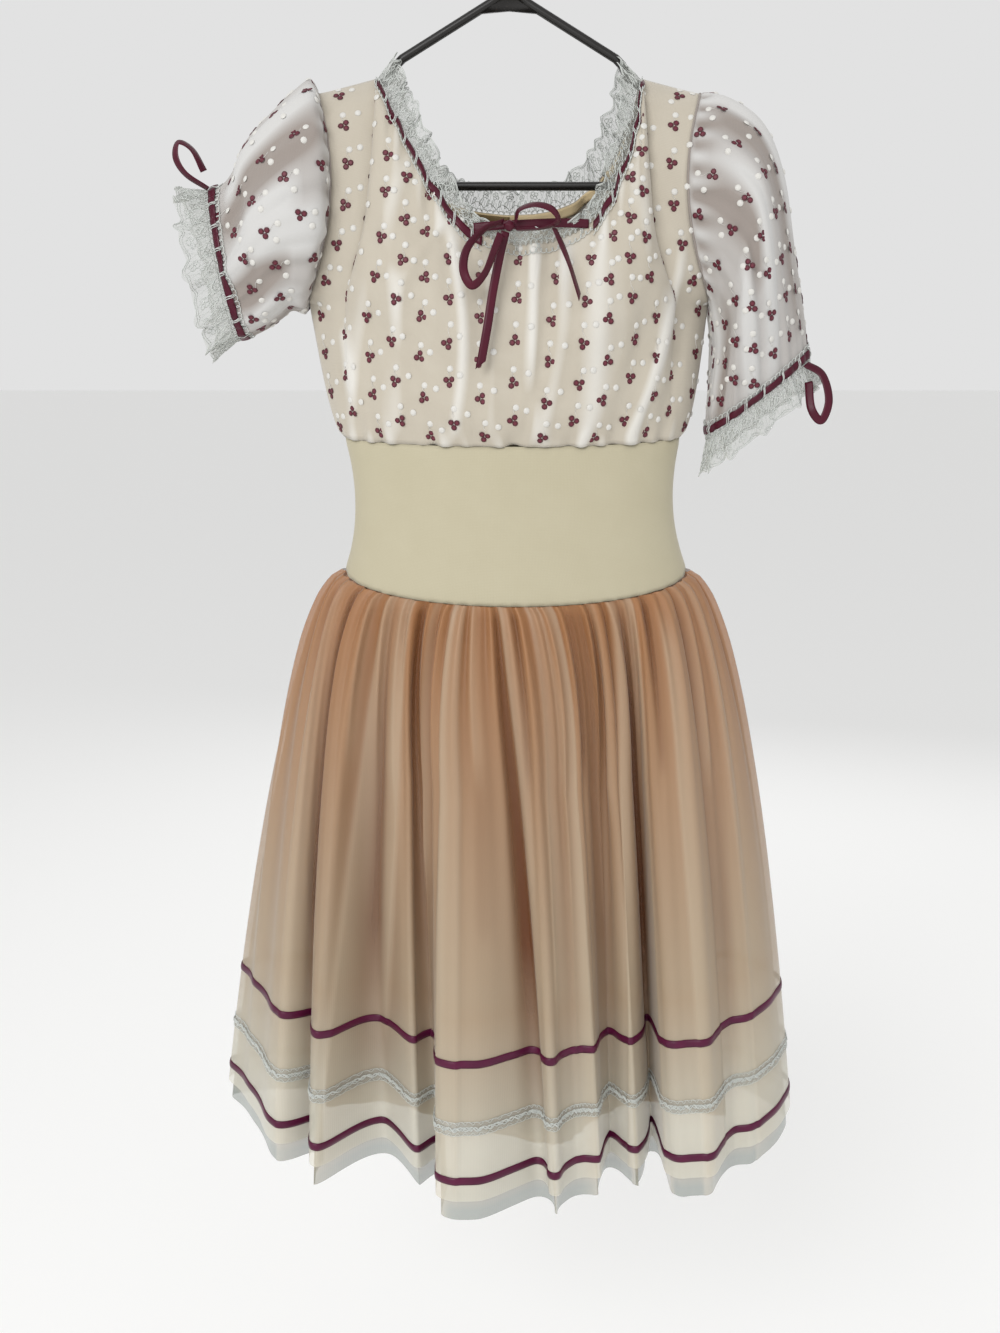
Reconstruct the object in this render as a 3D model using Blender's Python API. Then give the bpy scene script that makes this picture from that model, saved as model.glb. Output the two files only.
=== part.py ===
"""Ballet dress with puffed sleeves and a three-layer gathered skirt, hung on a plain clothes hanger.

Metres, +Z up, X to the viewer's right, the dress's front towards -Y.
The origin is the bearing of the hanger's hook: the point that rests on a rail.
Every piece of cloth is a wall between an outer and an inner sheet of points.
"""
import math
from collections import namedtuple

import bmesh
import bpy
import numpy as np

MM = 0.001

# Cloth and seams
CLOTH = 1.1 * MM
SEAM = 0.3 * MM
LIFT = 0.55 * MM
NECK_LIFT = 0.95 * MM
RIBBON_WIDTH = 6.4 * MM
RIBBON_IN = 2.0 * MM
CUFF_RIBBON_IN = 0.4 * MM

# Hanger: tube, arms, shoulder notches, bar and hook
TUBE_RADIUS = 3.4 * MM
HANGER_REACH = 188 * MM
ARM_TOP_Z = -81 * MM
ARM_SLOPE = 0.577
NOTCH_INNER_X = 85 * MM
NOTCH_OUTER_X = 137 * MM
NOTCH_DEPTH = 8.8 * MM
BAR_Z = -218 * MM
HOOK_RADIUS = 25 * MM
WEB_HALF_WIDTH = 46 * MM
WEB_DROP = 13 * MM

# Bodice
SHOULDER_NECK_X = 99 * MM
SHOULDER_NECK_Z = -141 * MM
SHOULDER_TIP_X = 143 * MM
SHOULDER_TIP_Z = -152 * MM
UNDERARM_X = 155 * MM
UNDERARM_Z = -304 * MM
ARMHOLE_HOLLOW = 17 * MM
ARMHOLE_DEPTH = 36 * MM
NECK_FRONT_DEPTH = 56 * MM
NECK_BACK_DEPTH = 44 * MM
BUST_SWELL = 12 * MM
SHOULDER_EASE = 20 * MM
GATHER_HEIGHT = 1.2 * MM
PLAIN_STEPS = 4
ARMHOLE_STEPS = 6
SHOULDER_STEPS = 3
NECK_STEPS = 12
BLOUSE = 5 * MM
NECK_SWEEP = 80 * MM
NECK_ROUNDNESS = 0.5
FACING_WIDTH = 9 * MM
SIDE_SEAM_SHARES = (0.0, 0.16, 0.55)

# Midriff band and waist
Girth = namedtuple("Girth", "z centre_x half_width half_depth sag")
BAND_TOP = Girth(-406 * MM, 3 * MM, 133 * MM, 54 * MM, 6 * MM)
BAND_MIDDLE = Girth(-461 * MM, 5 * MM, 127 * MM, 52 * MM, 12 * MM)
BAND_BOTTOM = Girth(-512 * MM, 6 * MM, 138 * MM, 57 * MM, 22 * MM)
BAND_STEPS = 16
BAND_CLOTH = 1.3 * MM

# Skirt: three layers hung from the waist seam
HEM_Z = -1000 * MM
HEM_FRONT_DROP = 28 * MM
OVERSKIRT_RISE = 18 * MM
SKIRT_LENGTH = 486 * MM
SAMPLES_PER_LINE = 3
WAIST_GATHER = 1.6 * MM
WAIST_PUFF = 7 * MM
OVERSKIRT_OUT = 0.8 * MM
LINING_INSETS = (6.5 * MM, 11 * MM, 12 * MM, 12 * MM)
GATHER_FALLS = (0.0, 0.035, 0.1, 0.25, 0.46)
GATHER_SHARES = (1.0, 1.2, 1.0, 0.5, 0.0)
HIP_FALL = 0.3
FLARE_POWER = 0.6
LAYER_GAP = 3.6 * MM
LINING_END = 0.91
UPPER_RIBBON_UP = 130 * MM
LACE_BAND_UP = 78 * MM
LOWER_RIBBON_UP = 35 * MM
LACE_BAND_WIDTH = 11 * MM
OVERSKIRT_FALLS = (
    0.0, 0.035, 0.1, 0.25, 0.46,
    1.0 - UPPER_RIBBON_UP / SKIRT_LENGTH,
    1.0 - LACE_BAND_UP / SKIRT_LENGTH,
    1.0 - LOWER_RIBBON_UP / SKIRT_LENGTH,
    1.0 - OVERSKIRT_RISE / SKIRT_LENGTH,
)
UNDERSKIRT_FALLS = (0.0, 0.1, 0.46, 1.0 - LACE_BAND_UP / SKIRT_LENGTH, 1.0)
LINING_FALLS = (0.004, 0.1, 0.46, LINING_END)

FoldLine = namedtuple("FoldLine", "kind hip_x hem_x hem_y")
SKIRT_FRONT = (
    FoldLine("side", -186, -228, 0),
    FoldLine("crest", -168, -198, -56),
    FoldLine("valley", -150, -164, -40),
    FoldLine("crest", -138, -161, -78),
    FoldLine("valley", -105, -107, -26),
    FoldLine("crest", -82, -76, -70),
    FoldLine("valley", -66, -55, -48),
    FoldLine("crest", -54, -57, -102),
    FoldLine("crest", -26, -24, -112),
    FoldLine("valley", 3, 24, -80),
    FoldLine("crest", 24, 40, -101),
    FoldLine("valley", 42, 57, -77),
    FoldLine("crest", 58, 78, -74),
    FoldLine("valley", 72, 87, -38),
    FoldLine("crest", 88, 110, -68),
    FoldLine("valley", 103, 126, -20),
    FoldLine("crest", 118, 136, -86),
    FoldLine("crest", 142, 166, -90),
    FoldLine("valley", 163, 190, -60),
    FoldLine("crest", 184, 216, -54),
)
SKIRT_BACK = (
    FoldLine("side", 199, 248, 0),
    FoldLine("crest", 182, 212, 62),
    FoldLine("valley", 152, 176, 46),
    FoldLine("crest", 120, 140, 90),
    FoldLine("valley", 90, 103, 66),
    FoldLine("crest", 58, 68, 104),
    FoldLine("valley", 26, 30, 76),
    FoldLine("crest", -6, -8, 110),
    FoldLine("valley", -38, -46, 78),
    FoldLine("crest", -70, -84, 102),
    FoldLine("valley", -102, -120, 60),
    FoldLine("valley", -134, -150, 58),
    FoldLine("crest", -188, -250, 44),
)

# Neckline of the front, viewer's left to right, and of the back
NeckPoint = namedtuple("NeckPoint", "x z")
NECK_FRONT = (
    NeckPoint(-99, -141),
    NeckPoint(-87, -166),
    NeckPoint(-73, -193),
    NeckPoint(-55, -222),
    NeckPoint(-30, -252),
    NeckPoint(2, -265),
    NeckPoint(36, -262),
    NeckPoint(60, -249),
    NeckPoint(77, -224),
    NeckPoint(92, -186),
    NeckPoint(99, -141),
)
NECK_BACK = (
    NeckPoint(-99, -141),
    NeckPoint(-92, -172),
    NeckPoint(-74, -204),
    NeckPoint(-44, -226),
    NeckPoint(0, -234),
    NeckPoint(44, -228),
    NeckPoint(74, -206),
    NeckPoint(92, -172),
    NeckPoint(99, -141),
)

# Sleeves: each row is one ring, from its upper point to its lower point in the front view
SleeveRing = namedtuple("SleeveRing", "top_x top_z low_x low_z front back lean gather")
SLEEVE_RIGHT = (
    SleeveRing(160, -154, 157, -316, 48, 44, -2, 2.4),
    SleeveRing(187, -172, 160, -338, 55, 48, 2, 2.0),
    SleeveRing(205, -206, 159, -360, 54, 47, 0, 1.2),
    SleeveRing(217, -255, 157, -380, 47, 42, 0, 1.2),
    SleeveRing(228, -308, 156, -395, 36, 34, 0, 2.0),
    SleeveRing(234, -345, 157, -405, 27, 26, 0, 1.6),
)
SLEEVE_LEFT = (
    SleeveRing(151, -143, 158, -312, 56, 44, -17, 2.4),
    SleeveRing(172, -160, 168, -310, 60, 48, -8, 2.0),
    SleeveRing(197, -185, 176, -316, 55, 46, 0, 1.2),
    SleeveRing(208, -206, 188, -324, 45, 40, 0, 1.4),
    SleeveRing(218, -217, 200, -329, 36, 33, 0, 2.0),
    SleeveRing(228, -221, 209, -331, 28, 27, 0, 1.6),
)
SLEEVE_COLUMNS = 36
SLEEVE_SEAM = 0.6 * MM
CUFF_LACE_LENGTH = 26 * MM
CUFF_LACE_WAVE = 2.6 * MM
CUFF_LACE_FLARE = 7 * MM

# Neck frill
FRILL_SHOULDER = 24 * MM
FRILL_CENTRE = 9 * MM
FRILL_BACK = 20 * MM
FRILL_WAVE = 2.2 * MM
FRILL_LEAN = 0.6
FRILL_FALL = 2.0 * MM

# Bow of the neck ribbon and of the cuffs: paths of the ribbon's middle line
TapePoint = namedtuple("TapePoint", "x y z turn")
NECK_RIBBON_FRONT = (
    TapePoint(-26, -57.4, -254, 0),
    TapePoint(-10, -61.5, -253, 0),
    TapePoint(12, -62, -252, 0),
    TapePoint(36, -60.5, -251, 0),
    TapePoint(58, -54.6, -251, 0),
)
BOW_LEFT_LOOP = (
    TapePoint(-4.5, -69, -251, 60),
    TapePoint(-18, -77, -257, 55),
    TapePoint(-30, -81, -270, 35),
    TapePoint(-33, -82, -285, 10),
    TapePoint(-27, -82, -296, -20),
    TapePoint(-18, -80, -288, -45),
    TapePoint(-11, -78, -272, -35),
    TapePoint(-6, -73, -260, -20),
)
BOW_RIGHT_LOOP = (
    TapePoint(4.1, -67.7, -250.3, 70),
    TapePoint(7, -71, -243, 60),
    TapePoint(18, -76, -240, 50),
    TapePoint(30, -76, -243, 40),
    TapePoint(35, -73, -251, 60),
    TapePoint(24, -71, -256, 80),
    TapePoint(5, -68, -257, 85),
)
BOW_LEFT_TAIL = (
    TapePoint(-2.8, -67.8, -257.8, 20),
    TapePoint(-7, -69, -275, 12),
    TapePoint(-12, -73, -300, 10),
    TapePoint(-16, -77, -325, 6),
    TapePoint(-21, -77, -352, 4),
)
BOW_RIGHT_TAIL = (
    TapePoint(32.3, -70.1, -255.5, 60),
    TapePoint(38, -73, -268, 50),
    TapePoint(44, -76, -283, 60),
    TapePoint(51, -76, -304, 60),
)
CUFF_BOW_LEFT = (
    TapePoint(-226.9, -14.0, -221.8, 60),
    TapePoint(-242, -20, -212, 50),
    TapePoint(-249, -20, -200, 35),
    TapePoint(-247, -18, -189, 50),
    TapePoint(-237, -16, -194, 60),
    TapePoint(-229.5, -13.5, -209, 45),
)
CUFF_BOW_RIGHT = (
    TapePoint(228.7, -18.8, -350.6, 30),
    TapePoint(240, -27.5, -359, 20),
    TapePoint(245, -31, -378, 10),
    TapePoint(240, -31, -393, 10),
    TapePoint(232, -30, -384, 20),
    TapePoint(230.6, -22.6, -364, 30),
)
KNOT_CENTRE = (0.0, -66.2 * MM, -253.5 * MM)
KNOT_HALF = (4.3 * MM, 3.3 * MM, 4.2 * MM)
LABEL_THICKNESS = 1.0 * MM
LABEL_HEIGHT = 6.5 * MM

# Linear colours of the cloths, trims and plastic
VOILE = (0.80, 0.74, 0.66)
SLEEVE_VOILE = (0.66, 0.63, 0.60)
BAND_CREAM = (0.60, 0.54, 0.38)
ORGANZA = (0.57, 0.37, 0.22)
PALE_ORGANZA = (0.60, 0.62, 0.56)
PEACH = (0.62, 0.40, 0.26)
BURGUNDY = (0.105, 0.003, 0.023)
PLUM = (0.145, 0.011, 0.069)
LACE = (0.62, 0.65, 0.62)
CREAM = (0.75, 0.56, 0.37)
TAN = (0.19, 0.13, 0.05)
BLACK = (0.012, 0.011, 0.010)

COLLECTION_NAME = "ballet_dress_on_hanger"


def clear_scene():
    """Remove every object that a new file starts with."""
    for item in list(bpy.data.objects):
        bpy.data.objects.remove(item, do_unlink=True)


def new_collection(name):
    """A collection that holds the whole dress."""
    collection = bpy.data.collections.new(name)
    bpy.context.scene.collection.children.link(collection)
    return collection


def new_material(name, colour, roughness):
    """A plain finish: the cloth's colour and how dull it is."""
    material = bpy.data.materials.new(name)
    material.use_nodes = True
    shader = material.node_tree.nodes["Principled BSDF"]
    shader.inputs["Base Color"].default_value = (*colour, 1.0)
    shader.inputs["Roughness"].default_value = roughness
    shader.inputs["Metallic"].default_value = 0.0
    return material


def add_mesh(name, points, faces, colour, roughness):
    """Put a finished mesh in the dress's collection with its own material."""
    mesh = bpy.data.meshes.new(name)
    mesh.from_pydata([tuple(point) for point in points], [], faces)
    mesh.update()
    item = bpy.data.objects.new(name, mesh)
    item.data.materials.append(new_material(name, colour, roughness))
    DRESS.objects.link(item)
    return item


def wall(name, outer, inner, colour, roughness, closed=False):
    """A closed wall between two like sheets of points, rows by columns."""
    rows, columns = outer.shape[:2]
    size = rows * columns
    points = np.concatenate([outer.reshape(-1, 3), inner.reshape(-1, 3)])
    faces = []

    def quad(a, b, c, d):
        faces.append((a, b, c))
        faces.append((a, c, d))

    spans = columns if closed else columns - 1
    for row in range(rows - 1):
        for column in range(spans):
            a = row * columns + column
            b = row * columns + (column + 1) % columns
            quad(a, b, b + columns, a + columns)
            quad(size + a, size + a + columns, size + b + columns, size + b)
    for column in range(spans):
        a = column
        b = (column + 1) % columns
        quad(size + a, size + b, b, a)
        low_a = a + size - columns
        low_b = b + size - columns
        quad(low_a, low_b, size + low_b, size + low_a)
    if not closed:
        for row in range(rows - 1):
            a = row * columns
            quad(size + a, a, a + columns, size + a + columns)
            b = a + columns - 1
            quad(b, size + b, size + b + columns, b + columns)
    across = outer[0, 1] - outer[0, 0]
    along = outer[1, 0] - outer[0, 0]
    outward = outer[0, 0] - inner[0, 0]
    if np.dot(np.cross(across, along), outward) < 0.0:
        faces = [face[::-1] for face in faces]
    return add_mesh(name, points, faces, colour, roughness)


def catmull(values, samples, closed):
    """A smooth line through rows of values, with a number of samples from each to the next."""
    values = np.asarray(values, dtype=float)
    count = len(values)
    if closed:
        ring = np.concatenate([values[-1:], values, values[:2]])
        spans = count
    else:
        first = 2.0 * values[0] - values[1]
        last = 2.0 * values[-1] - values[-2]
        ring = np.concatenate([[first], values, [last]])
        spans = count - 1
    line = []
    for span in range(spans):
        before, start, end, after = ring[span:span + 4]
        for step in range(samples):
            t = step / samples
            line.append(0.5 * (2.0 * start + (end - before) * t
                               + (2.0 * before - 5.0 * start + 4.0 * end - after) * t * t
                               + (3.0 * start - before - 3.0 * end + after) * t ** 3))
    if not closed:
        line.append(values[-1])
    return np.array(line)


def along_line(points, count):
    """Even points along a line."""
    steps = np.linalg.norm(np.diff(points, axis=0), axis=1)
    reach = np.concatenate([[0.0], np.cumsum(steps)])
    wanted = np.linspace(0.0, reach[-1], count)
    return np.stack([np.interp(wanted, reach, points[:, axis]) for axis in range(points.shape[1])], axis=1)


def sheet_normals(sheet, closed=False):
    """Unit normals of a sheet of points, as its rows and columns run."""
    if closed:
        across = np.roll(sheet, -1, axis=1) - np.roll(sheet, 1, axis=1)
    else:
        across = np.gradient(sheet, axis=1)
    along = np.gradient(sheet, axis=0)
    normals = np.cross(across, along)
    return normals / np.linalg.norm(normals, axis=2, keepdims=True)


def ring_normals(plan):
    """Outward mitred normals of a closed loop in plan, so that a moved loop stays parallel."""
    before = plan - np.roll(plan, 1, axis=0)
    after = np.roll(plan, -1, axis=0) - plan
    before /= np.linalg.norm(before, axis=1, keepdims=True)
    after /= np.linalg.norm(after, axis=1, keepdims=True)
    normal_before = np.stack([before[:, 1], -before[:, 0]], axis=1)
    normal_after = np.stack([after[:, 1], -after[:, 0]], axis=1)
    middle = normal_before + normal_after
    middle /= np.linalg.norm(middle, axis=1, keepdims=True)
    mitre = np.maximum(np.sum(middle * normal_before, axis=1), 0.6)
    return middle / mitre[:, None]


def seam_plane(girth, y):
    """Height of a girth's seam at a depth: level behind, sagging towards the centre front."""
    return girth.z - girth.sag * np.maximum(0.0, -y) / girth.half_depth


def cut_at_side(sheet, sign):
    """Trim a front or back half so that its side edges stand half a seam from the plane y = 0."""
    sheet = sheet.copy()
    gap = sign * SEAM / 2.0
    for edge, neighbour in ((0, 1), (-1, -2)):
        start = sheet[:, edge]
        end = sheet[:, neighbour]
        share = (gap - start[:, 1]) / (end[:, 1] - start[:, 1])
        sheet[:, edge] = start + (end - start) * share[:, None]
    return sheet


# Hanger


def arm_z(x):
    """Height of the middle of the hanger's arm at a distance from its centre."""
    return ARM_TOP_Z - ARM_SLOPE * x


def hanger_outline():
    """The closed line of the tube: both arms with their notches, the rounded ends and the bar."""
    ramp = 5 * MM
    half = [
        (0.0, arm_z(0.0) + 1.5 * MM),
        (14 * MM, arm_z(13 * MM)),
        (NOTCH_INNER_X - ramp, arm_z(NOTCH_INNER_X - ramp)),
        (NOTCH_INNER_X, arm_z(NOTCH_INNER_X) - 2 * MM),
        (NOTCH_INNER_X + ramp, arm_z(NOTCH_INNER_X + ramp) - NOTCH_DEPTH),
        (NOTCH_OUTER_X - ramp, arm_z(NOTCH_OUTER_X - ramp) - NOTCH_DEPTH),
        (NOTCH_OUTER_X - 1 * MM, arm_z(NOTCH_OUTER_X) - 3 * MM),
        (NOTCH_OUTER_X + ramp, arm_z(NOTCH_OUTER_X + ramp)),
        (HANGER_REACH - 8 * MM, arm_z(HANGER_REACH - 8 * MM)),
    ]
    bend_z = (arm_z(HANGER_REACH) + BAR_Z) / 2.0
    bend = [
        (HANGER_REACH - 1 * MM, bend_z + 10 * MM),
        (HANGER_REACH, bend_z),
        (HANGER_REACH - 3 * MM, bend_z - 9 * MM),
        (HANGER_REACH - 13 * MM, BAR_Z),
    ]
    right = half + bend
    left = [(-x, z) for x, z in reversed(right[1:])]
    return right + left


def tube(name, line, radius, cyclic, sides=2):
    """A round tube along a line in the hanger's plane, as a mesh."""
    curve = bpy.data.curves.new(name, "CURVE")
    curve.dimensions = "3D"
    curve.bevel_depth = radius
    curve.bevel_resolution = sides
    curve.use_fill_caps = True
    spline = curve.splines.new("POLY")
    spline.points.add(len(line) - 1)
    for point, (x, z) in zip(spline.points, line):
        point.co = (x, 0.0, z, 1.0)
    spline.use_cyclic_u = cyclic
    guide = bpy.data.objects.new(name, curve)
    DRESS.objects.link(guide)
    view = bpy.context.evaluated_depsgraph_get()
    mesh = bpy.data.meshes.new_from_object(guide.evaluated_get(view))
    bpy.data.objects.remove(guide, do_unlink=True)
    item = bpy.data.objects.new(name, mesh)
    DRESS.objects.link(item)
    merge_close_points(item)
    return item


def merge_close_points(item):
    """Weld a tube's caps to its side."""
    shape = bmesh.new()
    shape.from_mesh(item.data)
    bmesh.ops.remove_doubles(shape, verts=shape.verts, dist=0.00002)
    bmesh.ops.recalc_face_normals(shape, faces=shape.faces)
    shape.to_mesh(item.data)
    shape.free()


def join_to(item, other):
    """Fuse another solid into this one and remove it."""
    fuse = item.modifiers.new("fuse", "BOOLEAN")
    fuse.operation = "UNION"
    fuse.solver = "EXACT"
    fuse.object = other
    view = bpy.context.evaluated_depsgraph_get()
    mesh = bpy.data.meshes.new_from_object(item.evaluated_get(view))
    item.modifiers.clear()
    item.data = mesh
    bpy.data.objects.remove(other, do_unlink=True)


def web_plate():
    """The flat web that fills the corner under the hanger's apex."""
    thickness = 3.0 * MM
    low_z = arm_z(0.0) - WEB_DROP
    outline = [
        (0.0, arm_z(0.0)),
        (WEB_HALF_WIDTH, arm_z(WEB_HALF_WIDTH)),
        (WEB_HALF_WIDTH * 0.5, low_z - 2 * MM),
        (0.0, low_z),
        (-WEB_HALF_WIDTH * 0.5, low_z - 2 * MM),
        (-WEB_HALF_WIDTH, arm_z(WEB_HALF_WIDTH)),
    ]
    points = [(x, y, z) for y in (-thickness / 2.0, thickness / 2.0) for x, z in outline]
    count = len(outline)
    faces = [tuple(range(count)), tuple(range(2 * count - 1, count - 1, -1))]
    for corner in range(count):
        following = (corner + 1) % count
        faces.append((following, corner, corner + count, following + count))
    item = add_mesh("web", points, faces, BLACK, 0.38)
    merge_close_points(item)
    return item


def hanger():
    """Moulded plastic hanger: one tube, its web, its neck and its hook."""
    body = tube("hanger", hanger_outline(), TUBE_RADIUS, True)
    join_to(body, web_plate())
    centre_z = TUBE_RADIUS - HOOK_RADIUS
    turns = [math.radians(-90 + 295 * step / 20) for step in range(21)]
    arc = [(HOOK_RADIUS * math.cos(turn), centre_z + HOOK_RADIUS * math.sin(turn)) for turn in turns]
    neck = [(0.0, arm_z(0.0) - 2 * MM), (0.0, centre_z - HOOK_RADIUS - 8 * MM)]
    arc[0] = (1.5 * MM, centre_z - HOOK_RADIUS - 1 * MM)
    join_to(body, tube("hook", neck + arc, TUBE_RADIUS, False))
    body.data.materials.clear()
    body.data.materials.append(new_material("hanger", BLACK, 0.38))


# Bodice


def neck_depth(z, deep, lowest_z):
    """How far the neck edge stands from the shoulder plane at a height."""
    share = max(0.0, (SHOULDER_NECK_Z - z) / (SHOULDER_NECK_Z - lowest_z))
    return deep * min(1.0, share) ** NECK_ROUNDNESS


def neck_line(table, sign, deep):
    """Even points along a neckline, viewer's left to right."""
    plan = catmull([(row.x * MM, row.z * MM) for row in table], 6, False)
    plan = along_line(plan, 2 * NECK_STEPS + 1)
    lowest = plan[:, 1].min()
    return np.array([(x, sign * neck_depth(z, deep, lowest), z) for x, z in plan])


def armhole(turn, side, depth):
    """A point of the armhole's edge; turn runs from the shoulder tip (0) to the underarm (pi)."""
    share = (1.0 - math.cos(turn)) / 2.0
    x = SHOULDER_TIP_X + (UNDERARM_X - SHOULDER_TIP_X) * share - ARMHOLE_HOLLOW * math.sin(turn) ** 2
    z = SHOULDER_TIP_Z + (UNDERARM_Z - SHOULDER_TIP_Z) * share
    return side * x, depth * math.sin(turn), z


def bodice_top(table, sign, deep):
    """The bodice's upper edge from one shoulder tip over the neck to the other."""
    left = []
    for step in range(SHOULDER_STEPS):
        share = step / SHOULDER_STEPS
        left.append((-SHOULDER_TIP_X + (SHOULDER_TIP_X - SHOULDER_NECK_X) * share, 0.0,
                     SHOULDER_TIP_Z + (SHOULDER_NECK_Z - SHOULDER_TIP_Z) * share))
    right = [(-x, y, z) for x, y, z in reversed(left)]
    return np.concatenate([left, neck_line(table, sign, deep), right])


def bodice_side(side, sign):
    """The bodice's side edge: up the side seam to the underarm, then up the armhole."""
    seam_x = BAND_TOP.centre_x + side * BAND_TOP.half_width
    start = np.array([seam_x, 0.0, BAND_TOP.z])
    underarm = np.array(armhole(math.pi, side, 0.0))
    points = []
    for share in SIDE_SEAM_SHARES:
        point = start + (underarm - start) * share
        point[0] += side * BLOUSE * math.sin(math.pi * share ** 0.5)
        points.append(point)
    for step in range(ARMHOLE_STEPS + 1):
        points.append(armhole(math.pi * (1.0 - step / ARMHOLE_STEPS), side, sign * ARMHOLE_DEPTH))
    return np.array(points)


def girth_line(girth, sign, count):
    """Even points along half of an oval girth, viewer's left to right."""
    turns = np.linspace(math.pi, 0.0, 181)
    x = girth.centre_x + girth.half_width * np.cos(turns)
    y = sign * girth.half_depth * np.sin(turns)
    y[[0, -1]] = 0.0
    fine = np.stack([x, y, seam_plane(girth, y)], axis=1)
    return along_line(fine, count)


def bodice_sheet(table, sign, deep):
    """Outer points of the front or back bodice, rows from the seam up to the edge."""
    top = bodice_top(table, sign, deep)
    count = len(top)
    seam = girth_line(BAND_TOP, sign, count)
    left = bodice_side(-1, sign)
    right = bodice_side(1, sign)
    across = np.linspace(0.0, 1.0, count)[:, None]
    rise = (left[:, 2] - left[0, 2]) / (left[-1, 2] - left[0, 2])
    inside = np.sin(math.pi * across[:, 0])
    edge = np.minimum(1.0, inside / 0.2)
    shoulder = np.minimum(1.0, np.abs(top[:, 0]) / SHOULDER_NECK_X) ** 3 * edge
    zigzag = np.where(np.arange(count) % 2 == 0, 1.0, -1.0) * GATHER_HEIGHT
    zigzag[:SHOULDER_STEPS + PLAIN_STEPS + 1] = 0.0
    zigzag[-SHOULDER_STEPS - PLAIN_STEPS - 1:] = 0.0
    run = np.gradient(top, axis=0)
    away = np.stack([run[:, 2], np.zeros(count), -run[:, 0]], axis=1)
    away /= np.linalg.norm(away, axis=1, keepdims=True)
    rows = []
    for index, share in enumerate(rise):
        straight = seam * (1.0 - share) + top * share + away * NECK_SWEEP * (1.0 - share) * share ** 4
        ends = left[index] * (1.0 - across) + right[index] * across
        corners = ((left[0] * (1.0 - across) + right[0] * across) * (1.0 - share)
                   + (left[-1] * (1.0 - across) + right[-1] * across) * share)
        bend = ends - corners
        bend[:, 1] *= 1.0 - inside
        row = straight + bend
        blouse = BLOUSE * math.sin(math.pi * min(1.0, share / 0.3) ** 0.6)
        swell = BUST_SWELL * math.sin(math.pi * share ** 0.85)
        ease = SHOULDER_EASE * (math.sqrt(1.0 - share) - (1.0 - share))
        row[:, 1] += sign * (inside * swell + edge * blouse + shoulder * ease)
        gather = max(math.exp(-(share / 0.08) ** 2), math.exp(-((1.0 - share) / 0.1) ** 2))
        row[:, 1] += sign * zigzag * gather
        row[[0, -1]] = left[index], right[index]
        rows.append(row)
    return np.array(rows)


def panel_wall(name, sheet, sign, thickness, colour, roughness, levels):
    """A half garment's wall inside its sheet; its edges at side seams and shoulders are cut flat.

    levels gives the girth and the gap of a level seam on the first or the last row.
    """
    normals = sheet_normals(sheet)
    if np.sum(normals[:, :, 1]) * sign < 0.0:
        normals = -normals
    seams = np.abs(sheet[:, :, 1]) < SEAM
    normals[seams] = (0.0, 0.0, 1.0)
    normals[seams[:, 0], 0] = (-1.0, 0.0, 0.0)
    normals[seams[:, -1], -1] = (1.0, 0.0, 0.0)
    outer = sheet.copy()
    inner = sheet - normals * thickness
    outer[seams, 1] = sign * SEAM / 2.0
    inner[seams, 1] = sign * SEAM / 2.0
    for row, girth, gap in levels:
        for layer in (outer, inner):
            layer[row, :, 2] = seam_plane(girth, layer[row, :, 1]) + gap
    wall(name, outer, inner, colour, roughness)
    return normals


def bodice():
    """Front and back of embroidered voile, gathered into the neck and the midriff seam."""
    front = bodice_sheet(NECK_FRONT, -1, NECK_FRONT_DEPTH)
    back = bodice_sheet(NECK_BACK, 1, NECK_BACK_DEPTH)
    levels = [(0, BAND_TOP, SEAM / 2.0)]
    front_normals = panel_wall("bodice_front", front, -1, CLOTH, VOILE, 0.85, levels)
    back_normals = panel_wall("bodice_back", back, 1, CLOTH, VOILE, 0.85, levels)
    neck_trims(front, front_normals, back, back_normals)


def neck_band(sheet, normals, columns, near, far):
    """Points that lie on a bodice sheet beside its upper edge, between two distances from it."""
    edge = sheet[-1, columns]
    below = sheet[-2, columns]
    length = np.linalg.norm(below - edge, axis=1, keepdims=True)
    edge_normal = normals[-1, columns]
    below_normal = normals[-2, columns]
    rows = []
    spread = []
    for distance in (near, far):
        share = distance / length
        rows.append(edge + (below - edge) * share)
        spread.append(edge_normal + (below_normal - edge_normal) * share)
    spread = np.array(spread)
    spread /= np.linalg.norm(spread, axis=2, keepdims=True)
    return np.array(rows), spread


def frill(name, edge, sign, length):
    """A standing lace frill beyond a neck edge, waved from side to side."""
    count = len(edge)
    wave = np.where(np.arange(count) % 2 == 0, 1.0, -1.0)
    run = np.gradient(edge, axis=0)
    inward = np.stack([-run[:, 2], np.zeros(count), run[:, 0]], axis=1)
    inward /= np.linalg.norm(inward, axis=1, keepdims=True)
    rise = inward * FRILL_LEAN + np.array([0.0, 0.0, 1.0 - FRILL_LEAN])
    rise /= np.linalg.norm(rise, axis=1, keepdims=True)
    rows = []
    for share in (0.0, 1.0):
        row = edge + inward * 2.0 * SEAM + rise * length[:, None] * share
        row[:, 1] += wave * FRILL_WAVE * share + sign * FRILL_FALL * share
        rows.append(row)
    outer = np.array(rows)
    inner = outer.copy()
    inner[:, :, 1] -= sign * CLOTH
    wall(name, outer, inner, LACE, 0.8)


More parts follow.
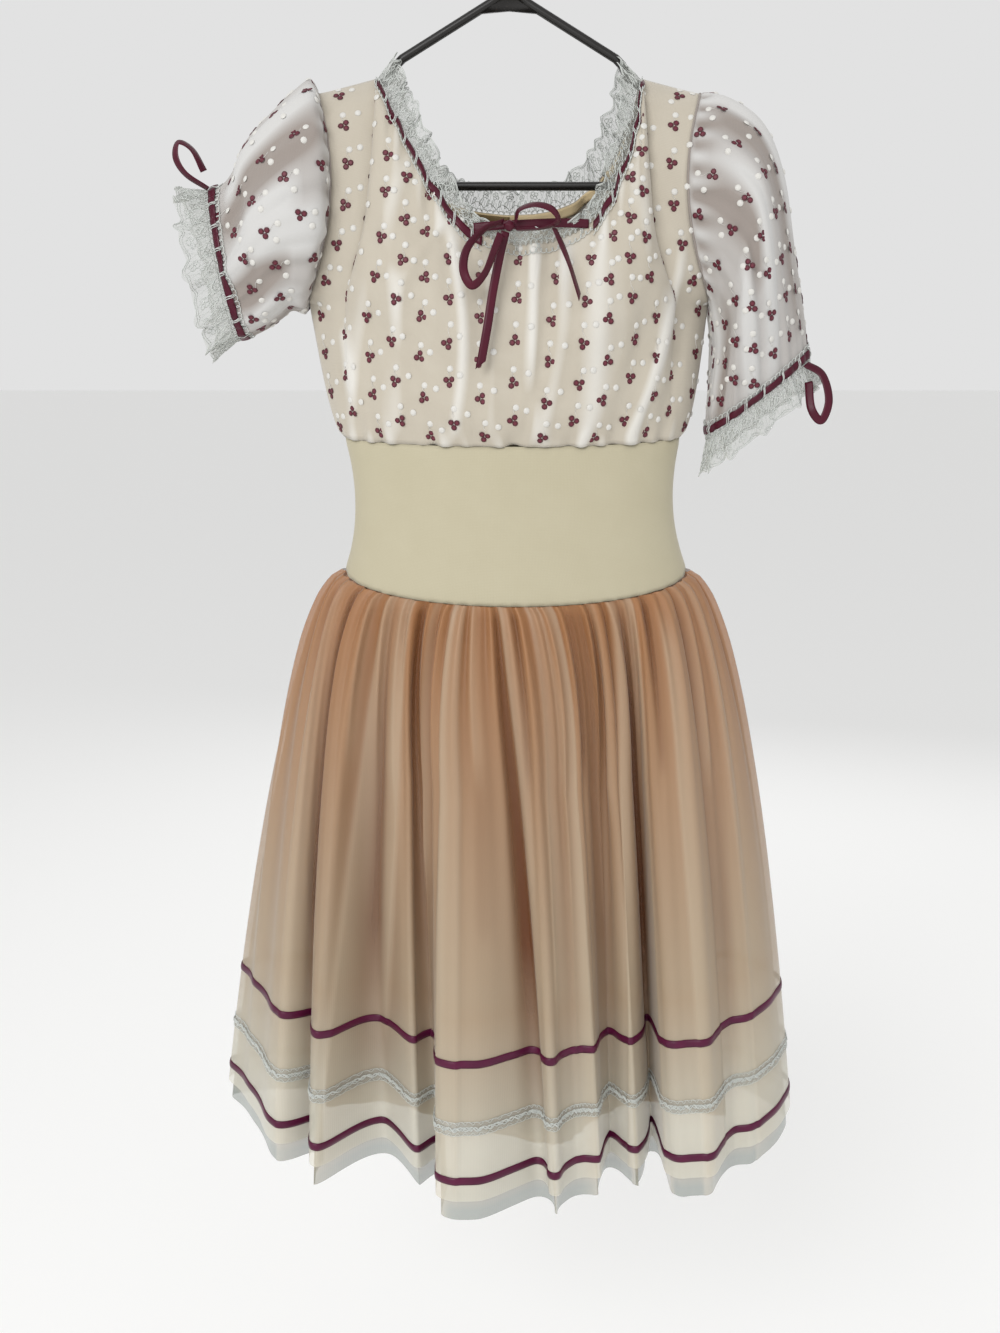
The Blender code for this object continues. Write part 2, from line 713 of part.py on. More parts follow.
def neck_trims(front, front_normals, back, back_normals):
    """Ribbon threaded round the neck, the standing lace frill, and the facing with its label."""
    first = SHOULDER_STEPS
    last = first + 2 * NECK_STEPS
    middle = first + NECK_STEPS
    pieces = (
        ("neck_ribbon_left", front, front_normals, range(first, middle - 1)),
        ("neck_ribbon_right", front, front_normals, range(middle + 4, last + 1)),
        ("neck_ribbon_back", back, back_normals, range(first + 1, last)),
    )
    for name, sheet, normals, columns in pieces:
        rows, spread = neck_band(sheet, normals, list(columns), RIBBON_IN, RIBBON_IN + RIBBON_WIDTH)
        wall(name, rows + spread * (NECK_LIFT + CLOTH), rows + spread * NECK_LIFT, BURGUNDY, 0.35)

    left_edge = catmull(front[-1, first:middle - 2], 2, False)[2:]
    right_edge = catmull(front[-1, middle + 4:last + 1], 2, False)[:-2]
    back_edge = catmull(back[-1, first:last + 1], 2, False)[2:-2]
    for name, edge in (("neck_frill_left", left_edge), ("neck_frill_right", right_edge)):
        share = np.clip((edge[:, 2] - edge[:, 2].min()) / (SHOULDER_NECK_Z - edge[:, 2].min()), 0.0, 1.0)
        frill(name, edge, -1, FRILL_CENTRE + (FRILL_SHOULDER - FRILL_CENTRE) * share ** 0.7)
    share = np.abs(back_edge[:, 0]) / SHOULDER_NECK_X
    frill("neck_frill_back", back_edge, 1, FRILL_BACK + (FRILL_SHOULDER - FRILL_BACK) * share)

    columns = list(range(first + 3, last - 2))
    rows, spread = neck_band(back, back_normals, columns, 0.5 * MM, FACING_WIDTH)
    depth = CLOTH + NECK_LIFT
    wall("neck_facing", rows - spread * depth, rows - spread * (depth + CLOTH), CREAM, 0.7)
    label(back, back_normals, middle, depth + CLOTH + LIFT)


def label(back, normals, middle, depth):
    """A blank woven label on the facing, beside the centre back."""
    columns = list(range(middle - 3, middle + 1))
    rows, spread = neck_band(back, normals, columns, 1.5 * MM, 1.5 * MM + LABEL_HEIGHT)
    wall("neck_label", rows - spread * depth, rows - spread * (depth + LABEL_THICKNESS),
         TAN, 0.8)


# Sleeves


def sleeve_ring(row, side, columns):
    """One ring of a sleeve: an oval between its upper and lower point, waved by its gathers."""
    turns = np.arange(columns) * 2.0 * math.pi / columns
    top = np.array([side * row.top_x, 0.0, row.top_z]) * MM
    low = np.array([side * row.low_x, 0.0, row.low_z]) * MM
    wave = np.where(np.arange(columns) % 2 == 0, 1.0, -1.0) * row.gather * MM / 2.0
    centre = (top + low) / 2.0
    half = (top - low) / 2.0
    length = np.linalg.norm(half)
    reach = 1.0 + wave / length
    depth = np.where(np.sin(turns) > 0.0, row.front, row.back) * MM + wave
    points = centre + half * (np.cos(turns) * reach)[:, None]
    points[:, 1] -= np.sin(turns) * depth
    points[:, 0] += side * row.lean * MM * np.clip(np.sin(turns), 0.0, 1.0) ** 2
    return points


def armhole_ring(side, columns):
    """The sleeve's head, a seam outside the bodice's armhole and on its own edge points."""
    corners = np.linspace(0.0, math.pi, ARMHOLE_STEPS + 1)
    edge = np.array([armhole(turn, side, -ARMHOLE_DEPTH) for turn in corners])
    points = []
    for turn in np.arange(columns) * 2.0 * math.pi / columns:
        down = min(turn, 2.0 * math.pi - turn)
        x, y, z = (np.interp(down, corners, edge[:, axis]) for axis in range(3))
        points.append((x + side * SLEEVE_SEAM, y if turn <= math.pi else -y, z))
    return np.array(points)


def tube_walls(rings, thickness):
    """Outer and inner points of an open tube through rings, as two like sheets."""
    outer = np.array(rings)
    normals = sheet_normals(outer, closed=True)
    centre = outer.mean(axis=1, keepdims=True)
    if np.sum(normals * (outer - centre)) < 0.0:
        normals = -normals
    return outer, outer - normals * thickness, normals


def sleeve(name, table, side):
    """A puffed sleeve gathered into the armhole and into its cuff, with ribbon and lace."""
    rings = [armhole_ring(side, SLEEVE_COLUMNS)]
    rings += [sleeve_ring(row, side, SLEEVE_COLUMNS) for row in table]
    outer, inner, normals = tube_walls(rings, CLOTH)
    wall("sleeve_" + name, outer, inner, SLEEVE_VOILE, 0.85, closed=True)
    cuff(name, table, side, outer, inner, normals)


def cuff(name, table, side, outer, inner, normals):
    """The ribbon round the cuff, on the sleeve's own points, and the waved lace below it."""
    edge = outer[-1]
    above = outer[-2]
    length = np.linalg.norm(above - edge, axis=1, keepdims=True)
    distances = (CUFF_RIBBON_IN, CUFF_RIBBON_IN + RIBBON_WIDTH)
    rows = [edge + (above - edge) * distance / length for distance in distances]
    spread = [normals[-1] + (normals[-2] - normals[-1]) * distance / length for distance in distances]
    rows = np.array(rows)
    spread = np.array(spread)
    spread /= np.linalg.norm(spread, axis=2, keepdims=True)
    wall("cuff_ribbon_" + name, rows + spread * (LIFT + CLOTH), rows + spread * LIFT,
         BURGUNDY, 0.35, closed=True)

    end = table[-1]
    before = table[-2]
    flow = np.array([side * (end.top_x + end.low_x - before.top_x - before.low_x), 0.0,
                     end.top_z + end.low_z - before.top_z - before.low_z])
    flow /= np.linalg.norm(flow)
    radial = edge - edge.mean(axis=0)
    radial /= np.linalg.norm(radial, axis=1, keepdims=True)
    pattern = np.where(np.arange(SLEEVE_COLUMNS) % 2 == 0, 1.0, -1.0)[:, None]
    spread = radial * (CUFF_LACE_FLARE + pattern * CUFF_LACE_WAVE)
    sheets = []
    for ring in (edge, inner[-1]):
        start = ring + flow * SLEEVE_SEAM
        sheets.append(np.array([start, start + spread + flow * CUFF_LACE_LENGTH]))
    wall("cuff_lace_" + name, sheets[0], sheets[1], LACE, 0.8, closed=True)


# Midriff


def midriff():
    """Smooth stretch band between the bodice and the skirt."""
    for name, sign in (("midriff_front", -1), ("midriff_back", 1)):
        rows = []
        count = BAND_STEPS + 1
        for share in (0.0, 0.25, 0.5, 0.75, 1.0):
            low = girth_line(BAND_BOTTOM, sign, count)
            middle = girth_line(BAND_MIDDLE, sign, count)
            high = girth_line(BAND_TOP, sign, count)
            row = (low * (1.0 - share) * (1.0 - 2.0 * share) + middle * 4.0 * share * (1.0 - share)
                   + high * share * (2.0 * share - 1.0))
            rows.append(row)
        levels = [(0, BAND_BOTTOM, SEAM / 2.0), (-1, BAND_TOP, -SEAM / 2.0)]
        panel_wall(name, np.array(rows), sign, BAND_CLOTH, BAND_CREAM, 0.75, levels)


# Skirt


def waist_loop():
    """The whole waist seam, viewer's left to right over the front, then back."""
    front = girth_line(BAND_BOTTOM, -1, len(SKIRT_FRONT) * SAMPLES_PER_LINE + 1)
    back = girth_line(BAND_BOTTOM, 1, len(SKIRT_BACK) * SAMPLES_PER_LINE + 1)[::-1]
    return np.concatenate([front[:-1], back[:-1]])


def hung_line(line, waist, fall):
    """Where a fold line stands in plan at a share of the skirt's fall: 0 at the seam, 1 at the hem."""
    flare = fall ** FLARE_POWER
    hip = HIP_FALL ** FLARE_POWER
    at_waist = (flare - hip) * (flare - 1.0) / hip
    at_hip = flare * (flare - 1.0) / (hip * (hip - 1.0))
    at_hem = flare * (flare - hip) / (1.0 - hip)
    x = waist[0] * at_waist + line.hip_x * MM * at_hip + line.hem_x * MM * at_hem
    y = waist[1] + (line.hem_y * MM - waist[1]) * fall ** 0.85
    return x, y


def skirt_loop(fall, out, gathers=True):
    """A closed section of the skirt at a share of its fall, moved out by a distance."""
    lines = SKIRT_FRONT + SKIRT_BACK
    waist = waist_loop()
    plan = [hung_line(line, waist[index * SAMPLES_PER_LINE], fall) for index, line in enumerate(lines)]
    plan = catmull(plan, SAMPLES_PER_LINE, True)
    if fall == 0.0:
        plan = waist[:, :2].copy()
    outward = plan - np.array([BAND_BOTTOM.centre_x, 0.0])
    outward /= np.linalg.norm(outward, axis=1, keepdims=True)
    plan += outward * outward[:, 1:] ** 2 * WAIST_PUFF * math.sin(math.pi * min(1.0, fall / HIP_FALL))
    sides = [0, len(SKIRT_FRONT) * SAMPLES_PER_LINE]
    plan[sides, 1] = 0.0
    base = plan.copy()
    if gathers:
        share = np.interp(fall, GATHER_FALLS, GATHER_SHARES)
        zigzag = np.where(np.arange(len(plan)) % 2 == 0, 1.0, -1.0) * WAIST_GATHER * share
        zigzag[sides] = 0.0
        plan = plan + ring_normals(plan) * zigzag[:, None]
    plan = plan + ring_normals(plan) * out
    plan[sides, 1] = 0.0
    moved = (plan - base)[:, 1] * max(0.0, 1.0 - fall / GATHER_FALLS[1])
    top = seam_plane(BAND_BOTTOM, waist[:, 1] + moved) - SEAM / 2.0
    front = np.maximum(0.0, -waist[:, 1] / BAND_BOTTOM.half_depth)
    hem = HEM_Z - HEM_FRONT_DROP * front
    height = top + (hem - top) * fall
    return np.concatenate([plan, height[:, None]], axis=1)


def lining_loop(fall, out):
    """A plain section inside every valley of the folds, moved out by a distance."""
    lines = SKIRT_FRONT + SKIRT_BACK
    whole = skirt_loop(fall, 0.0, False)
    places = [index * SAMPLES_PER_LINE for index, line in enumerate(lines) if line.kind == "valley"]
    loop = catmull(whole[places], 2, True)
    loop[:, :2] += ring_normals(loop[:, :2]) * out
    return loop


def halves(loops):
    """Split whole skirt sections into their front and back columns."""
    sheet = np.array(loops)
    turn = len(SKIRT_FRONT) * SAMPLES_PER_LINE
    front = sheet[:, :turn + 1]
    back = np.concatenate([sheet[:, turn:], sheet[:, :1]], axis=1)
    return cut_at_side(front, -1), cut_at_side(back, 1)


def skirt_layer(name, falls, depths, thickness, colour, roughness):
    """Front and back of one layer: its sections at shares of the fall, each at its own depth."""
    outer = halves([skirt_loop(fall, depth) for fall, depth in zip(falls, depths)])
    inner = halves([skirt_loop(fall, depth - thickness) for fall, depth in zip(falls, depths)])
    for side, half_outer, half_inner in zip(("front", "back"), outer, inner):
        wall(name + "_" + side, half_outer, half_inner, colour, roughness)


def band_on_skirt(name, up, width, colour, roughness):
    """A ribbon or lace band round the overskirt, on its outer points and moved out."""
    falls = [1.0 - (up + width / 2.0) / SKIRT_LENGTH, 1.0 - (up - width / 2.0) / SKIRT_LENGTH]
    rows = OVERSKIRT_FALLS
    sheets = []
    for depth in (OVERSKIRT_OUT + LIFT + CLOTH, OVERSKIRT_OUT + LIFT):
        loops = []
        for fall in falls:
            after = next(index for index, value in enumerate(rows) if value >= fall)
            share = (fall - rows[after - 1]) / (rows[after] - rows[after - 1])
            high = skirt_loop(rows[after - 1], depth)
            low = skirt_loop(rows[after], depth)
            loops.append(high + (low - high) * share)
        sheets.append(halves(loops))
    for side, half_outer, half_inner in zip(("front", "back"), *sheets):
        wall(name + "_" + side, half_outer, half_inner, colour, roughness)


def skirt():
    """Organza overskirt with its trims, longer sheer underskirt and shorter peach lining."""
    skirt_layer("overskirt", OVERSKIRT_FALLS, [OVERSKIRT_OUT] * len(OVERSKIRT_FALLS), CLOTH, ORGANZA, 0.5)
    top = OVERSKIRT_OUT - CLOTH - SEAM
    depths = [top] + [OVERSKIRT_OUT - CLOTH - LAYER_GAP] * (len(UNDERSKIRT_FALLS) - 1)
    skirt_layer("underskirt", UNDERSKIRT_FALLS, depths, CLOTH, PALE_ORGANZA, 0.5)
    outer = np.array([lining_loop(fall, -inset) for fall, inset in zip(LINING_FALLS, LINING_INSETS)])
    inner = np.array([lining_loop(fall, -inset - CLOTH) for fall, inset in zip(LINING_FALLS, LINING_INSETS)])
    wall("skirt_lining", outer, inner, PEACH, 0.7, closed=True)
    band_on_skirt("upper_ribbon", UPPER_RIBBON_UP, RIBBON_WIDTH, PLUM, 0.35)
    band_on_skirt("lace_band", LACE_BAND_UP, LACE_BAND_WIDTH, LACE, 0.8)
    band_on_skirt("lower_ribbon", LOWER_RIBBON_UP, RIBBON_WIDTH, PLUM, 0.35)


# Bows


def tape(name, table, samples):
    """A length of flat ribbon along a path; turn swings its face from the front view (0) to edge on (90)."""
    line = catmull([(row.x, row.y, row.z, row.turn) for row in table], samples, False)
    middle = line[:, :3] * MM
    swing = np.radians(line[:, 3])
    along = np.gradient(middle, axis=0)
    along /= np.linalg.norm(along, axis=1, keepdims=True)
    front = np.array([0.0, -1.0, 0.0])
    across = np.cross(along, front)
    across /= np.linalg.norm(across, axis=1, keepdims=True)
    depth = np.cross(across, along)
    width = across * np.cos(swing)[:, None] + depth * np.sin(swing)[:, None]
    face = np.cross(width, along)
    face /= np.linalg.norm(face, axis=1, keepdims=True)
    half = RIBBON_WIDTH / 2.0
    outer = np.array([middle - width * half, middle + width * half]) + face * CLOTH / 2.0
    inner = np.array([middle - width * half, middle + width * half]) - face * CLOTH / 2.0
    wall(name, outer, inner, BURGUNDY, 0.35)


def knot():
    """The bow's knot, a small pillow of ribbon."""
    bpy.ops.mesh.primitive_uv_sphere_add(segments=12, ring_count=8, radius=1.0, location=(0.0, 0.0, 0.0))
    item = bpy.context.active_object
    item.name = "bow_knot"
    item.data.name = "bow_knot"
    for vertex in item.data.vertices:
        for axis in range(3):
            vertex.co[axis] = vertex.co[axis] * KNOT_HALF[axis] + KNOT_CENTRE[axis]
    item.data.materials.append(new_material("bow_knot", BURGUNDY, 0.35))
    for collection in list(item.users_collection):
        collection.objects.unlink(item)
    DRESS.objects.link(item)


def bows():
    """The neck bow with its two loops and two tails, and one loop at each cuff."""
    tape("neck_ribbon_front", NECK_RIBBON_FRONT, 2)
    tape("bow_loop_left", BOW_LEFT_LOOP, 2)
    tape("bow_loop_right", BOW_RIGHT_LOOP, 2)
    tape("bow_tail_left", BOW_LEFT_TAIL, 2)
    tape("bow_tail_right", BOW_RIGHT_TAIL, 2)
    tape("cuff_bow_left", CUFF_BOW_LEFT, 2)
    tape("cuff_bow_right", CUFF_BOW_RIGHT, 2)
    knot()


clear_scene()
DRESS = new_collection(COLLECTION_NAME)
hanger()
bodice()
sleeve("right", SLEEVE_RIGHT, 1)
sleeve("left", SLEEVE_LEFT, -1)
midriff()
skirt()
bows()
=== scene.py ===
import math
from collections import namedtuple

import bpy
import numpy as np
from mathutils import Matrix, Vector


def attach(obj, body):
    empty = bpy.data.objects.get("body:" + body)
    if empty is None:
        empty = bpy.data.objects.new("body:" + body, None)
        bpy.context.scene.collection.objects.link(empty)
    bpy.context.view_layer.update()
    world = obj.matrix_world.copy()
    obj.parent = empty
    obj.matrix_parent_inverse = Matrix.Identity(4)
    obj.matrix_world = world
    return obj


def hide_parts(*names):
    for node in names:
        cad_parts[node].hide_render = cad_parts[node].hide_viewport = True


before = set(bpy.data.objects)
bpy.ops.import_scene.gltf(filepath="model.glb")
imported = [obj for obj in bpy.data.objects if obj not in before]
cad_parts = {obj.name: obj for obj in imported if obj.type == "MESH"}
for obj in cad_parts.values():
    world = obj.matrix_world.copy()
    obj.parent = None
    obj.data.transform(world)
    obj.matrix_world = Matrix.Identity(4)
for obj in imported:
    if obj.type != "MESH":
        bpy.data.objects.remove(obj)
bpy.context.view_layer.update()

MM = 0.001

# Camera and room
# The dress hangs in open air before a pale floor, seen from a little above its waist.
# Large soft lamps stand in front, to the side and behind, so the sheer hem is lit through.
camera_lens = bpy.data.cameras.new("camera")
camera_lens.sensor_fit = "VERTICAL"
camera_lens.sensor_width = 36.0
camera_lens.sensor_height = 36.0
camera_lens.lens = 37.03
camera = bpy.data.objects.new("camera", camera_lens)
camera.location = (-6.8 * MM, -1100 * MM, -359 * MM)
camera.rotation_euler = (math.radians(78), 0.0, 0.0)
bpy.context.scene.collection.objects.link(camera)
bpy.context.scene.camera = camera
bpy.context.scene.view_settings.view_transform = "Standard"

bpy.ops.object.select_all(action="DESELECT")
FLOOR_Z = -1.45
bpy.ops.mesh.primitive_plane_add(size=200.0, location=(0.0, 0.0, FLOOR_Z))
floor = bpy.context.active_object
floor.name = "floor"


def linear(code):
    """A hex colour as linear red, green, blue and alpha."""
    shares = [int(code[place:place + 2], 16) / 255.0 for place in (1, 3, 5)]
    return tuple(s / 12.92 if s <= 0.04045 else ((s + 0.055) / 1.055) ** 2.4 for s in shares) + (1.0,)


def add_node(material, kind, inputs=None, **settings):
    """Add a shader node; an input takes a plain value, or another node's output as a link."""
    tree = material.node_tree
    node = tree.nodes.new(kind)
    for setting, value in settings.items():
        setattr(node, setting, value)
    for place, value in (inputs or {}).items():
        if isinstance(value, bpy.types.NodeSocket):
            tree.links.new(value, node.inputs[place])
        else:
            node.inputs[place].default_value = value
    return node


def new_finish(name, colour, roughness, **levels):
    """A material whose even values stand on the shader's own sockets."""
    material = bpy.data.materials.new(name)
    material.use_nodes = True
    shader = material.node_tree.nodes["Principled BSDF"]
    shader.inputs["Base Color"].default_value = linear(colour)
    shader.inputs["Roughness"].default_value = roughness
    for socket, value in levels.items():
        shader.inputs[socket.replace("_", " ")].default_value = value
    return material


def join_input(material, output, place):
    """Link a node's output to the material's shader."""
    shader = material.node_tree.nodes["Principled BSDF"]
    material.node_tree.links.new(output, shader.inputs[place])


floor.data.materials.append(new_finish("matt_white_floor", "#F7F7F6", 0.9))

world = bpy.data.worlds.new("pale_room")
world.use_nodes = True
world.node_tree.nodes["Background"].inputs["Color"].default_value = linear("#FFFFFF")
world.node_tree.nodes["Background"].inputs["Strength"].default_value = 0.76
bpy.context.scene.world = world

Lamp = namedtuple("Lamp", "name place size watts")
LAMPS = (
    Lamp("key", (-1.1, -2.5, 0.8), 1.4, 46.0),
    Lamp("fill", (2.2, -1.6, -0.2), 2.0, 3.0),
    Lamp("back", (0.6, 2.3, 0.6), 2.4, 14.0),
)
for lamp in LAMPS:
    light = bpy.data.lights.new(lamp.name, "AREA")
    light.size = lamp.size
    light.energy = lamp.watts
    holder = bpy.data.objects.new(lamp.name, light)
    holder.location = lamp.place
    holder.rotation_euler = (Vector((0.0, 0.0, -0.5)) - holder.location).to_track_quat("-Z", "Y").to_euler()
    bpy.context.scene.collection.objects.link(holder)

# Hanger
# One moulding of black polypropylene: a round tube with shoulder notches, a bar, a web and a hook.
# Mould polish and handling give it soft highlights with a faint ripple along the tube.
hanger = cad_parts["hanger"]
black_polypropylene = new_finish("black_polypropylene", "#14110F", 0.38, IOR=1.49)
mould_place = add_node(black_polypropylene, "ShaderNodeTexCoord")
ripple = add_node(black_polypropylene, "ShaderNodeTexNoise",
                  {"Vector": mould_place.outputs["Object"], "Scale": 90.0})
grain = add_node(black_polypropylene, "ShaderNodeTexNoise",
                 {"Vector": mould_place.outputs["Object"], "Scale": 1400.0})
dull = add_node(black_polypropylene, "ShaderNodeMapRange",
                {"Value": ripple.outputs["Fac"], "To Min": 0.28, "To Max": 0.50})
mould_relief = add_node(black_polypropylene, "ShaderNodeBump",
                        {"Height": grain.outputs["Fac"], "Strength": 0.15, "Distance": 0.2 * MM})
join_input(black_polypropylene, dull.outputs["Result"], "Roughness")
join_input(black_polypropylene, mould_relief.outputs["Normal"], "Normal")
hanger.data.materials.clear()
hanger.data.materials.append(black_polypropylene)
weld = hanger.modifiers.new("weld", "WELD")
weld.merge_threshold = 0.00001
hanger.data.polygons.foreach_set("use_smooth", [True] * len(hanger.data.polygons))
hanger.data.set_sharp_from_angle(angle=math.radians(50))

# Midriff band
# A wide band of heavy cream stretch knit, cut as a front and a back and sewn at the sides.
# It is pulled smooth by the weight of the skirt, and its lower seam dips at the centre front.
Girth = namedtuple("Girth", "z centre_x half_width half_depth sag")
BAND_TOP = Girth(-406 * MM, 3 * MM, 133 * MM, 54 * MM, 6 * MM)
BAND_MIDDLE = Girth(-461 * MM, 5 * MM, 127 * MM, 52 * MM, 12 * MM)
BAND_BOTTOM = Girth(-512 * MM, 6 * MM, 138 * MM, 57 * MM, 22 * MM)
BAND_FLAT = (0.60, 0.115)
BAND_ROWS = 33
BAND_HALF_POINTS = 97
BAND_SLACK = 0.5 * MM
SEAM_GATHER = 0.35 * MM
SEAM_SINK = 1.0 * MM
KNIT_PITCH = 1.1 * MM
KNIT_THICKNESS = 0.9 * MM


def seam_height(girth, y):
    """Height of a girth's seam at a depth: level behind, sagging towards the centre front."""
    return girth.z - girth.sag * np.maximum(0.0, -y) / girth.half_depth


def along_line(points, count):
    """Even points along a line."""
    steps = np.linalg.norm(np.diff(points, axis=0), axis=1)
    reach = np.concatenate([[0.0], np.cumsum(steps)])
    wanted = np.linspace(0.0, reach[-1], count)
    return np.stack([np.interp(wanted, reach, points[:, axis]) for axis in range(points.shape[1])], axis=1)


def girth_line(girth, sign, count):
    """Even points along half of an oval girth, viewer's left to right."""
    turns = np.linspace(math.pi, 0.0, 721)
    x = girth.centre_x + girth.half_width * np.cos(turns)
    y = sign * girth.half_depth * np.sin(turns)
    return along_line(np.stack([x, y, seam_height(girth, y)], axis=1), count)


def sheet_mesh(name, grid, flat, closed=False, marks=None):
    """A sheet of quads through rows of points, with a UV map in metres of flat cloth."""
    rows, columns = grid.shape[:2]
    spans = columns if closed else columns - 1
    row, column = np.meshgrid(np.arange(rows - 1), np.arange(spans), indexing="ij")
    first = row * columns + column
    second = row * columns + (column + 1) % columns
    faces = np.stack([first, second, second + columns, first + columns], axis=-1).reshape(-1, 4)
    across = np.stack([column, column + 1, column + 1, column], axis=-1).reshape(-1, 4) / spans * flat[0]
    along = np.stack([row, row, row + 1, row + 1], axis=-1).reshape(-1, 4) / (rows - 1) * flat[1]
    points = grid.reshape(-1, 3)
    corners = points[faces]
    normals = np.cross(corners[:, 2] - corners[:, 0], corners[:, 3] - corners[:, 1])
    if np.sum(normals * (corners.mean(axis=1) - points.mean(axis=0))) < 0.0:
        faces = faces[:, ::-1]
        across = across[:, ::-1]
        along = along[:, ::-1]
    mesh = bpy.data.meshes.new(name)
    mesh.from_pydata(points.tolist(), [], faces.tolist())
    layer = mesh.uv_layers.new(name="cloth")
    layer.data.foreach_set("uv", np.stack([across.ravel(), along.ravel()], axis=1).ravel())
    mesh.polygons.foreach_set("use_smooth", [True] * len(mesh.polygons))
    for label, values in (marks or {}).items():
        attribute = mesh.attributes.new(label, "FLOAT", "POINT")
        attribute.data.foreach_set("value", np.asarray(values, dtype=np.float32).ravel())
    mesh.update()
    piece = bpy.data.objects.new(name, mesh)
    bpy.context.scene.collection.objects.link(piece)
    return piece


def thicken(piece, thickness):
    """Give a sheet its real thickness, on its inner side."""
    wall = piece.modifiers.new("thickness", "SOLIDIFY")
    wall.thickness = thickness
    wall.offset = -1.0
    bpy.ops.object.select_all(action="DESELECT")
    bpy.context.view_layer.objects.active = piece
    piece.select_set(True)
    bpy.ops.object.modifier_apply(modifier=wall.name)
    piece.select_set(False)


def sew_on(piece, material, slot, *nodes):
    """Give a piece its cloth and put it in the dress's body, in place of the nodes it stands for."""
    piece.data.materials.append(material)
    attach(piece, "root")
    if nodes:
        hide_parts(*nodes)


def knit_or_weave(material, pale, dark, pitch, depth, mottle=0.5):
    """Crossed threads at a pitch, as relief and as a faint change of colour, over a slow mottle."""
    cloth = add_node(material, "ShaderNodeUVMap", uv_map="cloth")
    band = 0.314 / pitch
    warp = add_node(material, "ShaderNodeTexWave",
                    {"Vector": cloth.outputs["UV"], "Scale": band, "Distortion": 0.6}, bands_direction="X")
    weft = add_node(material, "ShaderNodeTexWave",
                    {"Vector": cloth.outputs["UV"], "Scale": band, "Distortion": 0.6}, bands_direction="Y")
    threads = add_node(material, "ShaderNodeMath",
                       {0: warp.outputs["Fac"], 1: weft.outputs["Fac"]}, operation="MULTIPLY")
    patches = add_node(material, "ShaderNodeTexNoise",
                       {"Vector": cloth.outputs["UV"], "Scale": 38.0, "Detail": 4.0})
    share = add_node(material, "ShaderNodeMix", {0: mottle, 2: threads.outputs["Value"],
                                                 3: patches.outputs["Fac"]})
    dye = add_node(material, "ShaderNodeMix",
                   {0: share.outputs[0], 6: linear(dark), 7: linear(pale)}, data_type="RGBA")
    relief = add_node(material, "ShaderNodeBump",
                      {"Height": threads.outputs["Value"], "Strength": 0.5, "Distance": depth})
    join_input(material, relief.outputs["Normal"], "Normal")
    join_input(material, dye.outputs[2], "Base Color")
    return dye


# Heavy stretch knit of cotton and elastane: matt, close and even, cream.
cream_knit = new_finish("cream_stretch_knit", "#B7B095", 0.78, Sheen_Weight=0.25, Sheen_Roughness=0.4)
knit_or_weave(cream_knit, "#BBB49C", "#B0A88E", KNIT_PITCH, 0.15 * MM)



def band_half(share, sign):
    """Half of the band's girth at a share of its height, on a curve through its three girths."""
    low, waist, high = (girth_line(girth, sign, BAND_HALF_POINTS)
                        for girth in (BAND_BOTTOM, BAND_MIDDLE, BAND_TOP))
    half = (low * (1.0 - share) * (1.0 - 2.0 * share) + waist * 4.0 * share * (1.0 - share)
            + high * share * (2.0 * share - 1.0))
    return half if sign < 0 else half[::-1]


def near_seams(shares, reach):
    """One at the band's two seams, fading to nothing over a share of its height."""
    return np.exp(-(shares / reach) ** 2) + np.exp(-((1.0 - shares) / reach) ** 2)


band_shares = np.linspace(0.0, 1.0, BAND_ROWS)
band_grid = np.array([np.concatenate([band_half(share, -1)[:-1], band_half(share, 1)[:-1]])
                      for share in band_shares])
band_turn = np.arange(band_grid.shape[1]) / band_grid.shape[1] * 2.0 * math.pi
band_shares = band_shares[:, None]
slack = BAND_SLACK * np.sin(5.0 * band_turn + 3.0 * band_shares) * np.sin(math.pi * band_shares)
slack = slack + SEAM_GATHER * np.cos(46.0 * band_turn) * near_seams(band_shares, 0.05)
slack = slack - SEAM_SINK * near_seams(band_shares, 0.035)
band_plan = band_grid[:, :, :2] - np.array([BAND_MIDDLE.centre_x, 0.0])
band_grid[:, :, :2] += band_plan / np.linalg.norm(band_plan, axis=2, keepdims=True) * slack[:, :, None]
midriff = sheet_mesh("midriff_band", band_grid, BAND_FLAT, closed=True)
thicken(midriff, KNIT_THICKNESS)
sew_on(midriff, cream_knit, "midriff_band", "midriff_front", "midriff_back")

# Bodice
# Front and back of fine cotton voile with embroidered berries, gathered into the neck and the waist.
# The voile is loose over a cream lining, so single stretches look tan and doubled folds look white; the
# white on the ridges of the folds is painted highlight.
NeckPoint = namedtuple("NeckPoint", "x z")
NECK_FRONT = (
    NeckPoint(-99, -141),
    NeckPoint(-87, -166),
    NeckPoint(-73, -193),
    NeckPoint(-55, -222),
    NeckPoint(-30, -252),
    NeckPoint(2, -265),
    NeckPoint(36, -262),
    NeckPoint(60, -249),
    NeckPoint(77, -224),
    NeckPoint(92, -186),
    NeckPoint(99, -141),
)
NECK_BACK = (
    NeckPoint(-99, -141),
    NeckPoint(-92, -172),
    NeckPoint(-74, -204),
    NeckPoint(-44, -226),
    NeckPoint(0, -234),
    NeckPoint(44, -228),
    NeckPoint(74, -206),
    NeckPoint(92, -172),
    NeckPoint(99, -141),
)
SHOULDER_NECK = (99 * MM, -141 * MM)
SHOULDER_TIP = (143 * MM, -152 * MM)
UNDERARM = (155 * MM, -304 * MM)
ARMHOLE_HOLLOW = 17 * MM
ARMHOLE_DEPTH = 36 * MM
NECK_FRONT_DEPTH = 56 * MM
NECK_BACK_DEPTH = 44 * MM
NECK_ROUNDNESS = 0.5
BUST_SWELL = 12 * MM
SHOULDER_EASE = 20 * MM
BLOUSE = 5 * MM
NECK_SWEEP = 80 * MM
FINE = 6
SHOULDER_STEPS = 3 * FINE
NECK_STEPS = 12 * FINE
